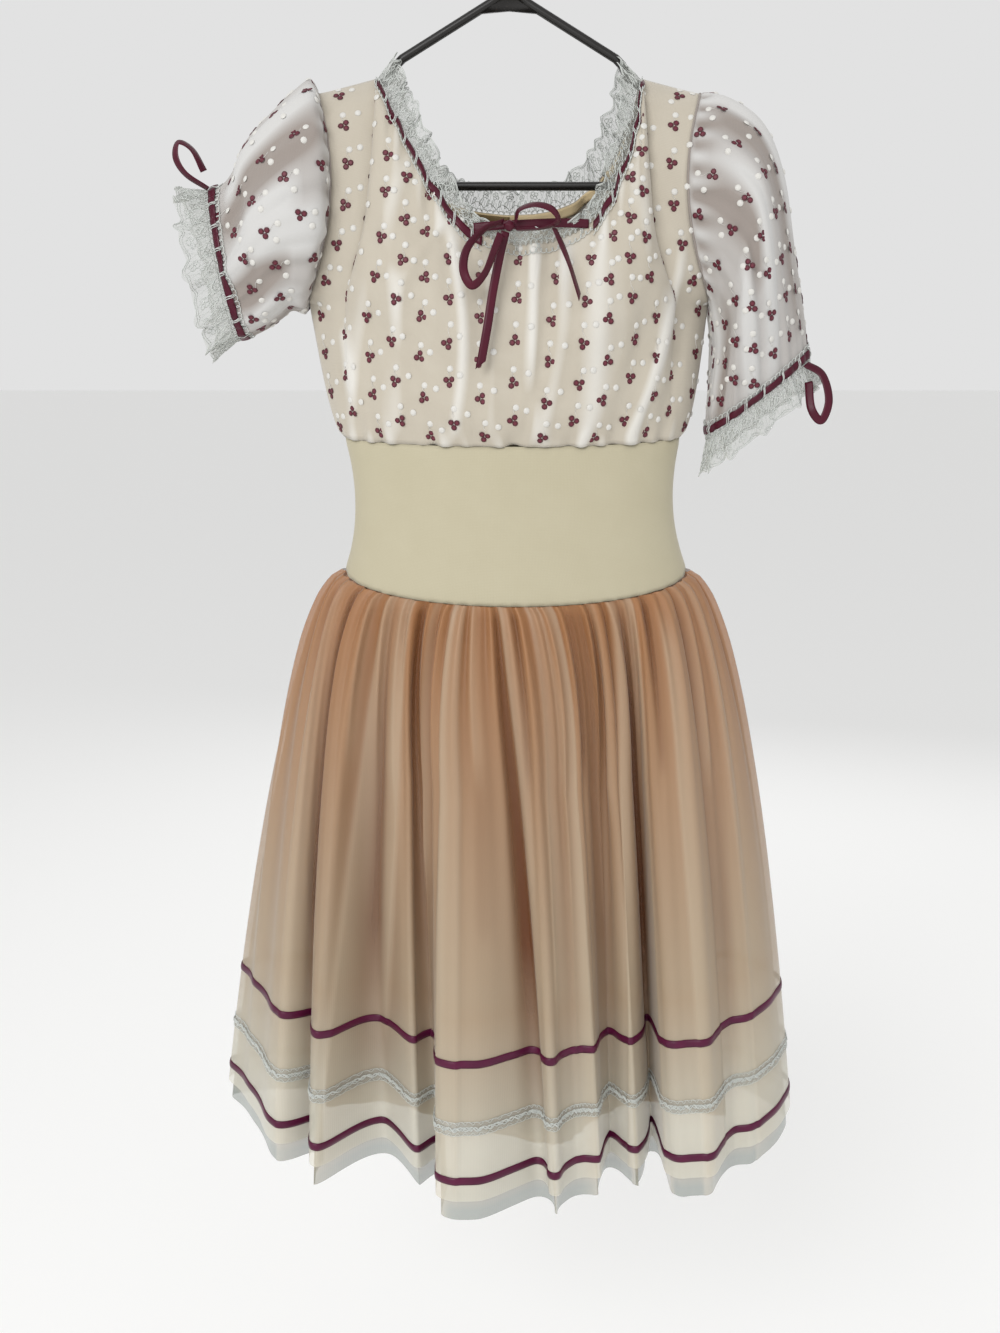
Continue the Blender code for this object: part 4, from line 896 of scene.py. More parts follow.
SKIRT_BACK = (
    FoldLine("side", 199, 248, 0),
    FoldLine("crest", 182, 212, 62),
    FoldLine("valley", 152, 176, 46),
    FoldLine("crest", 120, 140, 90),
    FoldLine("valley", 90, 103, 66),
    FoldLine("crest", 58, 68, 104),
    FoldLine("valley", 26, 30, 76),
    FoldLine("crest", -6, -8, 110),
    FoldLine("valley", -38, -46, 78),
    FoldLine("crest", -70, -84, 102),
    FoldLine("valley", -102, -120, 60),
    FoldLine("valley", -134, -150, 58),
    FoldLine("crest", -188, -250, 44),
)
# Creases of the organza. Their tops and lows are counted along the fold lines above, front and then back,
# starts and ends are shares of the fall, stands are in mm, left and right are widths in fold lines, and pale
# is the share of painted highlight along the crease.
SkirtCrease = namedtuple("SkirtCrease", "top low start end stand left right pale")
SKIRT_CREASES = (
    SkirtCrease(1.0, 1.1, 0.05, 1.0, 1.2, 0.08, 0.5, 0.5),
    SkirtCrease(2.2, 2.1, 0.0, 0.5, -1.0, 0.3, 0.3, 0.0),
    SkirtCrease(3.9, 3.0, 0.0, 1.0, 1.6, 0.07, 0.45, 0.7),
    SkirtCrease(4.4, 3.5, 0.0, 0.8, -1.3, 0.30, 0.2, 0.0),
    SkirtCrease(5.1, 3.9, 0.0, 0.7, 2.0, 0.40, 0.07, 0.8),
    SkirtCrease(5.5, 5.2, 0.0, 0.9, -1.4, 0.1, 0.4, 0.0),
    SkirtCrease(6.2, 6.0, 0.0, 0.4, 1.4, 0.10, 0.2, 0.4),
    SkirtCrease(7.1, 7.03, 0.0, 1.0, 1.6, 0.06, 0.22, 1.0),
    SkirtCrease(7.6, 7.55, 0.0, 0.9, 1.2, 0.30, 0.05, 0.5),
    SkirtCrease(8.2, 8.0, 0.0, 0.5, -1.0, 0.3, 0.3, 0.0),
    SkirtCrease(9.1, 9.75, 0.0, 1.0, 1.5, 0.05, 0.35, 0.7),
    SkirtCrease(8.9, 9.5, 0.0, 0.8, -1.3, 0.3, 0.12, 0.0),
    SkirtCrease(10.4, 10.3, 0.0, 0.6, 1.2, 0.08, 0.3, 0.5),
    SkirtCrease(11.6, 11.9, 0.0, 1.0, 1.6, 0.45, 0.06, 0.8),
    SkirtCrease(12.8, 12.4, 0.0, 0.8, -1.0, 0.2, 0.3, 0.0),
    SkirtCrease(14.3, 13.7, 0.0, 1.0, 1.6, 0.06, 0.40, 0.7),
    SkirtCrease(15.5, 15.9, 0.0, 1.0, 1.7, 0.45, 0.06, 0.8),
    SkirtCrease(15.0, 14.9, 0.05, 0.7, -1.5, 0.3, 0.3, 0.0),
    SkirtCrease(16.6, 16.9, 0.1, 1.0, 1.6, 0.06, 0.50, 0.8),
    SkirtCrease(17.5, 17.6, 0.0, 0.9, 1.1, 0.35, 0.06, 0.4),
    SkirtCrease(18.5, 18.9, 0.0, 1.0, 1.3, 0.07, 0.50, 0.5),
    SkirtCrease(19.4, 19.6, 0.1, 0.9, -1.0, 0.3, 0.3, 0.0),
    SkirtCrease(21.3, 21.5, 0.0, 1.0, 1.4, 0.07, 0.40, 0.6),
    SkirtCrease(23.0, 22.7, 0.0, 0.9, 1.5, 0.40, 0.06, 0.7),
    SkirtCrease(24.2, 24.4, 0.0, 0.7, -1.2, 0.3, 0.3, 0.0),
    SkirtCrease(25.4, 25.1, 0.0, 1.0, 1.5, 0.07, 0.40, 0.7),
    SkirtCrease(27.1, 27.2, 0.0, 1.0, 1.4, 0.40, 0.07, 0.7),
    SkirtCrease(28.6, 28.9, 0.0, 0.9, 1.5, 0.07, 0.40, 0.6),
    SkirtCrease(30.1, 30.0, 0.0, 0.8, -1.2, 0.3, 0.3, 0.0),
    SkirtCrease(31.4, 31.6, 0.0, 1.0, 1.4, 0.07, 0.45, 0.5),
    SkirtCrease(3.2, 3.6, 0.0, 0.22, 1.8, 0.08, 0.25, 0.4),
    SkirtCrease(4.7, 4.4, 0.0, 0.26, 1.8, 0.22, 0.08, 0.4),
    SkirtCrease(7.9, 8.6, 0.0, 0.20, 1.6, 0.08, 0.25, 0.4),
    SkirtCrease(9.7, 9.2, 0.0, 0.24, -1.8, 0.2, 0.2, 0.0),
    SkirtCrease(10.9, 11.5, 0.0, 0.25, 1.8, 0.22, 0.08, 0.4),
    SkirtCrease(12.3, 12.0, 0.0, 0.22, -1.8, 0.2, 0.2, 0.0),
    SkirtCrease(13.4, 13.9, 0.0, 0.28, 1.8, 0.08, 0.22, 0.4),
    SkirtCrease(16.1, 16.4, 0.0, 0.24, -1.6, 0.2, 0.2, 0.0),
    SkirtCrease(18.0, 17.6, 0.0, 0.25, 1.6, 0.22, 0.08, 0.4),
)
HEM_Z = -1000 * MM
HEM_FRONT_DROP = 28 * MM
SKIRT_LENGTH = 486 * MM
OVERSKIRT_RISE = 18 * MM
WAIST_PUFF = 7 * MM
HIP_FALL = 0.3
FLARE_POWER = 0.6
OVERSKIRT_OUT = 0.8 * MM
UNDERSKIRT_OUT = -3.9 * MM
LINING_END = 0.91
LINING_THICKNESS = 0.4 * MM
LINING_INSETS = (6.5, 11.0, 12.0, 12.0)
LINING_INSET_FALLS = (0.0, 0.1, 0.46, 1.0)
CREASE_TAIL = 0.06
OVERSKIRT_FLAT = (1.45, 0.47)
UNDERSKIRT_FLAT = (1.45, 0.49)
LINING_FLAT = (0.95, 0.41)
RIBBON_WIDTH = 6.4 * MM
TRIM_LENGTH = 1.35
RIBBON_THICKNESS = 0.3 * MM
RIBBON_LIFTS = (0.6 * MM, 0.95 * MM, 0.95 * MM, 0.6 * MM)
UPPER_RIBBON_UP = 130 * MM
LACE_BAND_UP = 78 * MM
LOWER_RIBBON_UP = 35 * MM
LACE_BAND_WIDTH = 11 * MM
LINE_SAMPLES = 24
SKIRT_LINES = SKIRT_FRONT + SKIRT_BACK


def ring_normals(plan):
    """Outward mitred normals of a closed loop in plan, so that a moved loop stays parallel."""
    before = plan - np.roll(plan, 1, axis=0)
    after = np.roll(plan, -1, axis=0) - plan
    before = before / np.linalg.norm(before, axis=1, keepdims=True)
    after = after / np.linalg.norm(after, axis=1, keepdims=True)
    first = np.stack([before[:, 1], -before[:, 0]], axis=1)
    second = np.stack([after[:, 1], -after[:, 0]], axis=1)
    middle = first + second
    middle /= np.linalg.norm(middle, axis=1, keepdims=True)
    return middle / np.maximum(np.sum(middle * first, axis=1), 0.6)[:, None]


def waist_loop(samples):
    """The whole waist seam, viewer's left to right over the front, then back."""
    front = girth_line(BAND_BOTTOM, -1, len(SKIRT_FRONT) * samples + 1)
    back = girth_line(BAND_BOTTOM, 1, len(SKIRT_BACK) * samples + 1)[::-1]
    return np.concatenate([front[:-1], back[:-1]])


def fold_plan(fall):
    """Where the fold lines stand in plan at a share of the skirt's fall."""
    waist = waist_loop(1)
    flare = fall ** FLARE_POWER
    hip = HIP_FALL ** FLARE_POWER
    hip_x = np.array([line.hip_x for line in SKIRT_LINES]) * MM
    hem_x = np.array([line.hem_x for line in SKIRT_LINES]) * MM
    hem_y = np.array([line.hem_y for line in SKIRT_LINES]) * MM
    x = (waist[:, 0] * (flare - hip) * (flare - 1.0) / hip
         + hip_x * flare * (flare - 1.0) / (hip * (hip - 1.0))
         + hem_x * flare * (flare - hip) / (1.0 - hip))
    y = waist[:, 1] + (hem_y - waist[:, 1]) * fall ** 0.85
    return np.stack([x, y], axis=1)


def skirt_creases(fall, count):
    """How far the creases stand out round the skirt at a share of its fall, and how much painted highlight
    they carry.
    """
    line = np.arange(count) / LINE_SAMPLES
    stand = np.zeros(count)
    pale = np.zeros(count)
    for crease in SKIRT_CREASES:
        inside = np.clip(fall, crease.start, crease.end)
        apart = line - (crease.top + (crease.low - crease.top) * fall)
        side = np.where(apart < 0.0, crease.left, crease.right)
        bell = np.exp(-(apart / side) ** 2) * math.exp(-((fall - inside) / CREASE_TAIL) ** 2)
        stand += crease.stand * bell
        pale += crease.pale * bell
    return stand * min(1.0, fall / 0.02), np.clip(pale, 0.0, 1.0)


def skirt_loop(fall, out, gathers=1.0):
    """A closed section of the skirt at a share of its fall, moved out, and how deep each point lies."""
    plan = catmull(fold_plan(fall), LINE_SAMPLES, closed=True)
    outward = plan - np.array([BAND_BOTTOM.centre_x, 0.0])
    outward /= np.linalg.norm(outward, axis=1, keepdims=True)
    plan = plan + outward * outward[:, 1:] ** 2 * WAIST_PUFF * math.sin(math.pi * min(1.0, fall / HIP_FALL))
    count = len(plan)
    turn = np.arange(count) / count * 2.0 * math.pi
    fine = (1.1 * np.cos(50 * turn + 1.5 * np.sin(3 * turn))
            + 0.8 * np.cos(33 * turn + 2.0 * np.sin(5 * turn) + 1.0)
            + 0.45 * np.cos(83 * turn + 0.5))
    slow = np.cos(23 * turn + 1.3 * np.sin(4 * turn)) + 0.6 * np.cos(37 * turn + 2.0 * np.sin(2 * turn))
    fade = np.interp(fall, (0.0, 0.04, 0.12, 0.3, 0.55, 1.0), (0.9, 1.6, 1.6, 0.9, 0.4, 0.1))
    stand = fine * fade + slow * np.interp(fall, (0.0, 0.1, 0.5, 1.0), (0.0, 0.8, 1.5, 1.0))
    stand = stand + skirt_creases(fall, count)[0]
    spread = ring_normals(plan)
    plan = plan + spread * (out + stand[:, None] * gathers * MM)
    waist = waist_loop(LINE_SAMPLES)
    front = np.maximum(0.0, -waist[:, 1] / BAND_BOTTOM.half_depth)
    top = seam_height(BAND_BOTTOM, waist[:, 1])
    height = top + (HEM_Z - HEM_FRONT_DROP * front - top) * fall
    reach = LINE_SAMPLES * 3 // 2
    window = np.hanning(2 * reach + 1)
    window /= window.sum()
    wide = np.concatenate([plan[-reach:], plan, plan[:reach]])
    eased = np.stack([np.convolve(wide[:, axis], window, "valid") for axis in range(2)], axis=1)
    depth = np.sum((eased - plan) * spread, axis=1)
    return np.concatenate([plan, height[:, None]], axis=1), depth


def skirt_sheet(falls, out):
    """Points and valley marks of a skirt layer."""
    loops = [skirt_loop(fall, out) for fall in falls]
    grid = np.array([points for points, depth in loops])
    depths = np.array([depth for points, depth in loops])
    creases = np.array([skirt_creases(fall, grid.shape[1]) for fall in falls])
    # The valley mark lays painted shade into the hollows of the folds and the inward creases; the pale mark
    # lays painted highlight along the crests.
    marks = {"valley": np.clip(depths / (12 * MM) + 0.1 - np.minimum(creases[:, 0], 0.0) * 0.22, 0.0, 1.0),
             "pale": creases[:, 1],
             "fall": np.repeat(np.array(falls)[:, None], grid.shape[1], axis=1)}
    return grid, marks


# The real threads are some 0.3 mm apart, too fine to show, so the weave is drawn coarser.
ORGANZA_PITCH = 1.3 * MM


def sheer_organza(name, pale, peach, hem, valley_shade, alpha, foot_start, foot_end):
    """Crisp sheer organza: fine even threads, a soft gleam, painted shade down in the valleys and painted
    highlight along the crests of the creases.
    """
    material = new_finish(name, pale, 0.45, Alpha=alpha, Sheen_Weight=0.35, Sheen_Roughness=0.35)
    material.surface_render_method = "BLENDED"
    # Painted shade: the valley mark darkens the hollows of the folds towards deep brown in the upper skirt.
    valley = add_node(material, "ShaderNodeAttribute", attribute_name="valley")
    fall = add_node(material, "ShaderNodeAttribute", attribute_name="fall")
    upper = add_node(material, "ShaderNodeMapRange",
                     {"Value": fall.outputs["Fac"], "From Min": 0.9, "From Max": 0.55, "To Min": 0.0,
                      "To Max": 1.0}, clamp=True)
    share = add_node(material, "ShaderNodeMath", {0: valley.outputs["Fac"], 1: upper.outputs["Result"]},
                     operation="MULTIPLY")
    cloth = add_node(material, "ShaderNodeUVMap", uv_map="cloth")
    warp = add_node(material, "ShaderNodeTexWave",
                    {"Vector": cloth.outputs["UV"], "Scale": 0.314 / ORGANZA_PITCH, "Distortion": 1.0},
                    bands_direction="X")
    top = add_node(material, "ShaderNodeMapRange",
                   {"Value": fall.outputs["Fac"], "From Min": 0.02, "From Max": 0.62, "To Min": 1.0,
                    "To Max": 0.0}, clamp=True)
    foot = add_node(material, "ShaderNodeMapRange",
                    {"Value": fall.outputs["Fac"], "From Min": foot_start, "From Max": foot_end}, clamp=True)
    upper_dye = add_node(material, "ShaderNodeMix",
                         {0: top.outputs["Result"], 6: linear(pale), 7: linear(peach)}, data_type="RGBA")
    lower_dye = add_node(material, "ShaderNodeMix",
                         {0: foot.outputs["Result"], 6: upper_dye.outputs[2], 7: linear(hem)},
                         data_type="RGBA")
    dye = add_node(material, "ShaderNodeMix",
                   {0: share.outputs["Value"], 6: lower_dye.outputs[2], 7: linear(valley_shade)}, data_type="RGBA")
    # Painted highlight: the pale mark lightens the crests of the creases.
    crest_highlight = add_node(material, "ShaderNodeAttribute", attribute_name="pale")
    amount = add_node(material, "ShaderNodeMath", {0: crest_highlight.outputs["Fac"], 1: 0.48}, operation="MULTIPLY")
    crest_highlight_dye = add_node(material, "ShaderNodeMix",
                        {0: amount.outputs["Value"], 6: dye.outputs[2], 7: linear("#D6C7AE")},
                        data_type="RGBA")
    thread = add_node(material, "ShaderNodeMix",
                      {0: 0.06, 6: crest_highlight_dye.outputs[2], 7: warp.outputs["Color"]}, data_type="RGBA",
                      blend_type="MULTIPLY")
    join_input(material, thread.outputs[2], "Base Color")
    return material


# The fourth colour of each organza is the painted shade of its valleys.
over_organza = sheer_organza("peach_organza", "#B9A388", "#B07C50", "#D3CFBF", "#6A3811", 0.62, 0.66, 0.88)
under_organza = sheer_organza("pale_organza", "#B9A98F", "#A4744C", "#7F877F", "#74431C", 0.66, 0.94, 0.985)
HEM_FALL = 1.0 - OVERSKIRT_RISE / SKIRT_LENGTH
OVER_FALLS = np.concatenate([np.linspace(0.0, 0.12, 13)[:-1],
                             np.linspace(0.12, HEM_FALL, 49)])
UNDER_FALLS = np.concatenate([np.linspace(0.0, 0.12, 9)[:-1], np.linspace(0.12, 1.0, 45)])
over_grid, over_marks = skirt_sheet(OVER_FALLS, OVERSKIRT_OUT)
under_grid, under_marks = skirt_sheet(UNDER_FALLS, UNDERSKIRT_OUT)
overskirt = sheet_mesh("overskirt_organza", over_grid, OVERSKIRT_FLAT, closed=True, marks=over_marks)
underskirt = sheet_mesh("underskirt_organza", under_grid, UNDERSKIRT_FLAT, closed=True, marks=under_marks)
sew_on(overskirt, over_organza, "organza", "overskirt_front", "overskirt_back")
sew_on(underskirt, under_organza, "pale_organza", "underskirt_front", "underskirt_back")

# Peach cotton lining: opaque, matt, one narrow tube inside every fold.
peach_lining = new_finish("peach_cotton_lining", "#BC8D62", 0.8)
knit_or_weave(peach_lining, "#C09268", "#B08056", 1.0 * MM, 0.1 * MM)


def lining_loop(fall):
    """A plain section inside every valley of the folds, with soft ripples."""
    points, depth = skirt_loop(fall, 0.0, 0.0)
    places = [index * LINE_SAMPLES for index, line in enumerate(SKIRT_LINES) if line.kind == "valley"]
    loop = catmull(points[places], 16, closed=True)
    inset = np.interp(fall, LINING_INSET_FALLS, LINING_INSETS) * MM
    turn = np.arange(len(loop)) / len(loop) * 2.0 * math.pi
    ripple = 1.2 * MM * np.cos(34 * turn + np.sin(3 * turn)) * min(1.0, fall * 4.0)
    loop[:, :2] += ring_normals(loop[:, :2]) * (ripple - inset)[:, None]
    return loop


lining_grid = np.array([lining_loop(fall) for fall in np.linspace(0.004, LINING_END, 36)])
lining = sheet_mesh("skirt_lining_peach", lining_grid, LINING_FLAT, closed=True)
thicken(lining, LINING_THICKNESS)
sew_on(lining, peach_lining, "lining", "skirt_lining")

# Skirt trims
# Two plum satin ribbons and a band of narrow corded lace, sewn flat round the overskirt near its hem.
# They follow every fold of the organza.


def satin(name, colour, shadow):
    """Polyester satin ribbon: close warp threads along it, a bright soft gleam across it."""
    material = new_finish(name, colour, 0.38, Specular_IOR_Level=0.3)
    cloth = add_node(material, "ShaderNodeUVMap", uv_map="cloth")
    warp = add_node(material, "ShaderNodeTexWave",
                    {"Vector": cloth.outputs["UV"], "Scale": 0.314 / (0.8 * MM), "Distortion": 0.5},
                    bands_direction="Y")
    patches = add_node(material, "ShaderNodeTexNoise", {"Vector": cloth.outputs["UV"], "Scale": 60.0})
    dye = add_node(material, "ShaderNodeMix",
                   {0: patches.outputs["Fac"], 6: linear(shadow), 7: linear(colour)}, data_type="RGBA")
    rise = add_node(material, "ShaderNodeBump",
                    {"Height": warp.outputs["Fac"], "Strength": 0.3, "Distance": 0.1 * MM})
    join_input(material, dye.outputs[2], "Base Color")
    join_input(material, rise.outputs["Normal"], "Normal")
    return material


plum_satin = satin("plum_satin_ribbon", "#5E0F3A", "#3E0726")


def band_loops(up, width, lifts, rows):
    """Rows of a band round the overskirt, from its upper edge to its lower one."""
    shares = np.linspace(0.5, -0.5, rows)
    return np.array([skirt_loop(1.0 - (up + width * share) / SKIRT_LENGTH, OVERSKIRT_OUT + lift)[0]
                     for share, lift in zip(shares, lifts)])


for name, up in (("upper_ribbon", UPPER_RIBBON_UP), ("lower_ribbon", LOWER_RIBBON_UP)):
    grid = band_loops(up, RIBBON_WIDTH, RIBBON_LIFTS, len(RIBBON_LIFTS))
    ribbon = sheet_mesh(name + "_satin", grid, (TRIM_LENGTH, RIBBON_WIDTH), closed=True)
    thicken(ribbon, RIBBON_THICKNESS)
    sew_on(ribbon, plum_satin, "skirt_ribbon", name + "_front", name + "_back")

# Cotton lace net, drawn as a sheer sheet with its real threads standing on it.
lace_net = new_finish("white_lace_net", "#DFE1DC", 0.8, Alpha=0.34, Sheen_Weight=0.2)
lace_net.surface_render_method = "BLENDED"
net_place = add_node(lace_net, "ShaderNodeUVMap", uv_map="cloth")
net_cells = add_node(lace_net, "ShaderNodeTexVoronoi",
                     {"Vector": net_place.outputs["UV"], "Scale": 420.0}, feature="DISTANCE_TO_EDGE")
net_dye = add_node(lace_net, "ShaderNodeMix",
                   {0: net_cells.outputs["Distance"], 6: linear("#B4B6B0"), 7: linear("#8E928B")},
                   data_type="RGBA")
join_input(lace_net, net_dye.outputs[2], "Base Color")
lace_thread = new_finish("white_lace_thread", "#ECEDE8", 0.7, Sheen_Weight=0.3)
lace_place = add_node(lace_thread, "ShaderNodeTexCoord")
fuzz = add_node(lace_thread, "ShaderNodeTexNoise",
                {"Vector": lace_place.outputs["Object"], "Scale": 900.0})
lace_dye = add_node(lace_thread, "ShaderNodeMix",
                    {0: fuzz.outputs["Fac"], 6: linear("#B6BAB5"), 7: linear("#D9DCD8")}, data_type="RGBA")
join_input(lace_thread, lace_dye.outputs[2], "Base Color")


def on_sheet(grid, across, down, lift, normals, closed):
    """Points on a sheet at shares across and down it, raised along its normals."""
    rows, columns = grid.shape[:2]
    spans = columns if closed else columns - 1
    column = np.asarray(across) * spans
    column = column % spans if closed else np.clip(column, 0.0, spans - 1e-6)
    row = np.clip(np.asarray(down) * (rows - 1), 0.0, rows - 1 - 1e-6)
    c0 = column.astype(int)
    r0 = row.astype(int)
    c1 = (c0 + 1) % columns
    r1 = r0 + 1
    fc = (column - c0)[:, None]
    fr = (row - r0)[:, None]
    values = []
    for field in (grid, normals):
        values.append(field[r0, c0] * (1 - fc) * (1 - fr) + field[r0, c1] * fc * (1 - fr)
                      + field[r1, c0] * (1 - fc) * fr + field[r1, c1] * fc * fr)
    return values[0] + values[1] * lift


lace_grid = band_loops(LACE_BAND_UP, LACE_BAND_WIDTH, (0.5 * MM,) * 5, 5)
lace_normals = sheet_normals(lace_grid, closed=True)
if np.sum(lace_normals * (lace_grid - lace_grid.mean(axis=1, keepdims=True))) < 0.0:
    lace_normals = -lace_normals
lace_band = sheet_mesh("lace_band_net", lace_grid, (TRIM_LENGTH, LACE_BAND_WIDTH), closed=True)
sew_on(lace_band, lace_net, "lace", "lace_band_front", "lace_band_back")

# Waves of thread that cross each other: where each lies on the band, how far it swings, how often.
LaceWave = namedtuple("LaceWave", "middle swing waves shift")
BAND_WAVES = (
    LaceWave(0.5, 0.13, 190, 0.0),
    LaceWave(0.5, 0.11, 190, 2.1),
    LaceWave(0.52, 0.16, 143, 4.0),
    LaceWave(0.47, 0.08, 260, 1.0),
)
BAND_CORD_POINTS = 2400
BAND_CORD_RADIUS = 0.42 * MM
BAND_SCALLOPS = 210
BAND_EDGE_RADIUS = 0.2 * MM
across = np.append(np.linspace(0.0, 1.0, BAND_CORD_POINTS, endpoint=False), 1.0)
cords = []
for wave in BAND_WAVES:
    angles = 2.0 * math.pi * wave.waves * across + wave.shift
    down = wave.middle + wave.swing * np.sin(angles)
    lift = (0.7 + 0.3 * np.cos(angles))[:, None] * MM
    cords.append(on_sheet(lace_grid, across, down, lift, lace_normals, True))
points, faces = tubes(cords, BAND_CORD_RADIUS)
lace_cord = plain_mesh("lace_band_cords", points, faces)
sew_on(lace_cord, lace_thread, "lace")
edges = []
for edge_share, swing in ((0.07, -0.07), (0.93, 0.07)):
    down = edge_share + swing * np.abs(np.sin(math.pi * BAND_SCALLOPS * across))
    edges.append(on_sheet(lace_grid, across, down, 0.4 * MM, lace_normals, True))
    down = edge_share - swing * 2.0 * np.sin(2.0 * math.pi * BAND_SCALLOPS * across)
    edges.append(on_sheet(lace_grid, across, down, 0.3 * MM, lace_normals, True))
points, faces = tubes(edges, BAND_EDGE_RADIUS)
lace_edges = plain_mesh("lace_band_edges", points, faces)
sew_on(lace_edges, lace_thread, "lace")

# Neck and cuff lace
# Ruffled cotton lace with a scalloped edge, worked in small flowers and leaves on an open ground.
# It stands up from the neck's gathering line and falls past each cuff.
LACE_REPEAT = 12.5 * MM
FRILL_SHOULDER = 24 * MM
FRILL_CENTRE = 9 * MM
FRILL_BACK = 20 * MM
CENTRE_FRILL = 10.5 * MM
NECK_FULLNESS = 1.15
LACE_THREAD = 0.40 * MM
LACE_GROUND = 0.16 * MM


def lace_lines(grid, normals, length, closed):
    """The worked threads and the ground threads of a lace edging, from its sewn edge to its scallops."""
    repeats = max(2, int(round(length / LACE_REPEAT)))
    worked = []
    ground = []
    for repeat in range(repeats):
        left = repeat / repeats
        step = 1.0 / repeats
        share = np.linspace(0.0, 1.0, 13)
        for sink in (0.0, 0.07):
            worked.append((left + step * share, 0.88 - sink + 0.12 * np.sin(math.pi * share)))
        for petal in range(4):
            turn = petal * 2.0 * math.pi / 4.0 + 0.3 * repeat
            loop = np.linspace(0.0, 2.0 * math.pi, 8)
            x = 0.5 + 0.15 * math.cos(turn) + 0.12 * np.cos(loop)
            y = 0.66 + 0.10 * math.sin(turn) + 0.07 * np.sin(loop)
            worked.append((left + step * x, y))
        for lean in (-1.0, 1.0):
            loop = np.linspace(0.0, 2.0 * math.pi, 9)
            x = 0.5 + lean * (0.27 + 0.11 * np.cos(loop))
            y = 0.36 + 0.15 * np.sin(loop + lean * 0.7)
            worked.append((left + step * x, y))
            stem = 0.12 + 0.22 * np.sin(math.pi * share * 0.5)
            worked.append((left + step * (0.5 + lean * 0.5 * share), stem))
        for line in range(3):
            start = left + step * line / 3.0
            height = np.linspace(0.02, 0.9, 7)
            ground.append((start + step * 0.55 * height, height))
            ground.append((start - step * 0.55 * height, height))
    made = []
    for lines, lift in ((worked, 0.25 * MM), (ground, 0.05 * MM)):
        chosen = [(x, y) for x, y in lines if closed or (x.min() >= 0.0 and x.max() <= 1.0)]
        made.append([on_sheet(grid, x, y, lift, normals, closed) for x, y in chosen])
    return made


def lace_piece(name, grid, length, width, closed, *nodes):
    """A lace edging: its net, its worked threads and its ground threads."""
    normals = sheet_normals(grid, closed=closed)
    if closed and np.sum(normals * (grid - grid.mean(axis=1, keepdims=True))) < 0.0:
        normals = -normals
    net = sheet_mesh(name + "_net", grid, (length, width), closed=closed)
    sew_on(net, lace_net, "lace", *nodes)
    worked, ground = lace_lines(grid, normals, length, closed)
    for label, lines, radius in (("worked", worked, LACE_THREAD), ("ground", ground, LACE_GROUND)):
        points, faces = tubes(lines, radius)
        threads = plain_mesh(name + "_" + label, points, faces)
        sew_on(threads, lace_thread, "lace")


def line_length(line):
    """A line's whole length."""
    return float(np.sum(np.linalg.norm(np.diff(line, axis=0), axis=1)))


def frill_grid(edge, sign, width, waves, phase):
    """A standing frill beyond a neck edge, fluted from side to side."""
    count = len(edge)
    run = np.gradient(edge, axis=0)
    along = run / np.linalg.norm(run, axis=1, keepdims=True)
    inward = np.stack([-run[:, 2], np.zeros(count), run[:, 0]], axis=1)
    inward /= np.linalg.norm(inward, axis=1, keepdims=True)
    up = inward * 0.6 + np.array([0.0, 0.0, 0.4])
    up /= np.linalg.norm(up, axis=1, keepdims=True)
    turn = np.linspace(0.0, 1.0, count) * waves * 2.0 * math.pi + phase
    flute = np.sin(turn) + 0.35 * np.sin(1.7 * turn + 1.0)
    slide = np.cos(turn) * 0.9
    repeats = max(2, int(round(line_length(edge) * NECK_FULLNESS / LACE_REPEAT)))
    scallop = np.abs(np.sin(np.linspace(0.0, 1.0, count) * repeats * math.pi))
    rows = []
    for share in np.linspace(0.0, 1.0, 15):
        curl = share ** 1.3
        reach = width * share * (1.0 - 0.10 * curl * np.abs(flute) - 0.13 * curl * (1.0 - scallop))
        row = edge + inward * 0.6 * MM + up * reach[:, None]
        row = row + along * (slide * 3.0 * MM * curl)[:, None]
        row[:, 1] += sign * 2.0 * MM * share + flute * 4.2 * MM * curl
        rows.append(row)
    return np.array(rows)


neck_first = SHOULDER_STEPS
neck_middle = neck_first + NECK_STEPS
neck_last = neck_first + 2 * NECK_STEPS
neck_edges = (
    ("left", front_grid[-1, neck_first:neck_middle - 2 * FINE], -1, 10, 0.4),
    ("right", front_grid[-1, neck_middle + 4 * FINE:neck_last + 1], -1, 9, 1.2),
    ("back", back_grid[-1, neck_first:neck_last + 1], 1, 13, 2.2),
)
for name, edge, sign, waves, phase in neck_edges:
    edge = along_line(edge, 200)
    if name == "back":
        share = np.abs(edge[:, 0]) / SHOULDER_NECK[0]
        width = FRILL_BACK + (FRILL_SHOULDER - FRILL_BACK) * share
    else:
        edge_foot = edge[:, 2].min()
        share = np.clip((edge[:, 2] - edge_foot) / (SHOULDER_NECK[1] - edge_foot), 0.0, 1.0)
        width = FRILL_CENTRE + (FRILL_SHOULDER - FRILL_CENTRE) * share ** 0.7
    lace_piece("neck_lace_" + name, frill_grid(edge, sign, width, waves, phase),
               line_length(edge) * NECK_FULLNESS, float(width.mean()), False, "neck_frill_" + name)
centre_edge = along_line(front_grid[-1, neck_middle - 3 * FINE:neck_middle + 5 * FINE], 90)
lace_piece("neck_lace_front", frill_grid(centre_edge, -1, np.full(90, CENTRE_FRILL), 5, 0.0),
           line_length(centre_edge) * NECK_FULLNESS, CENTRE_FRILL, False)

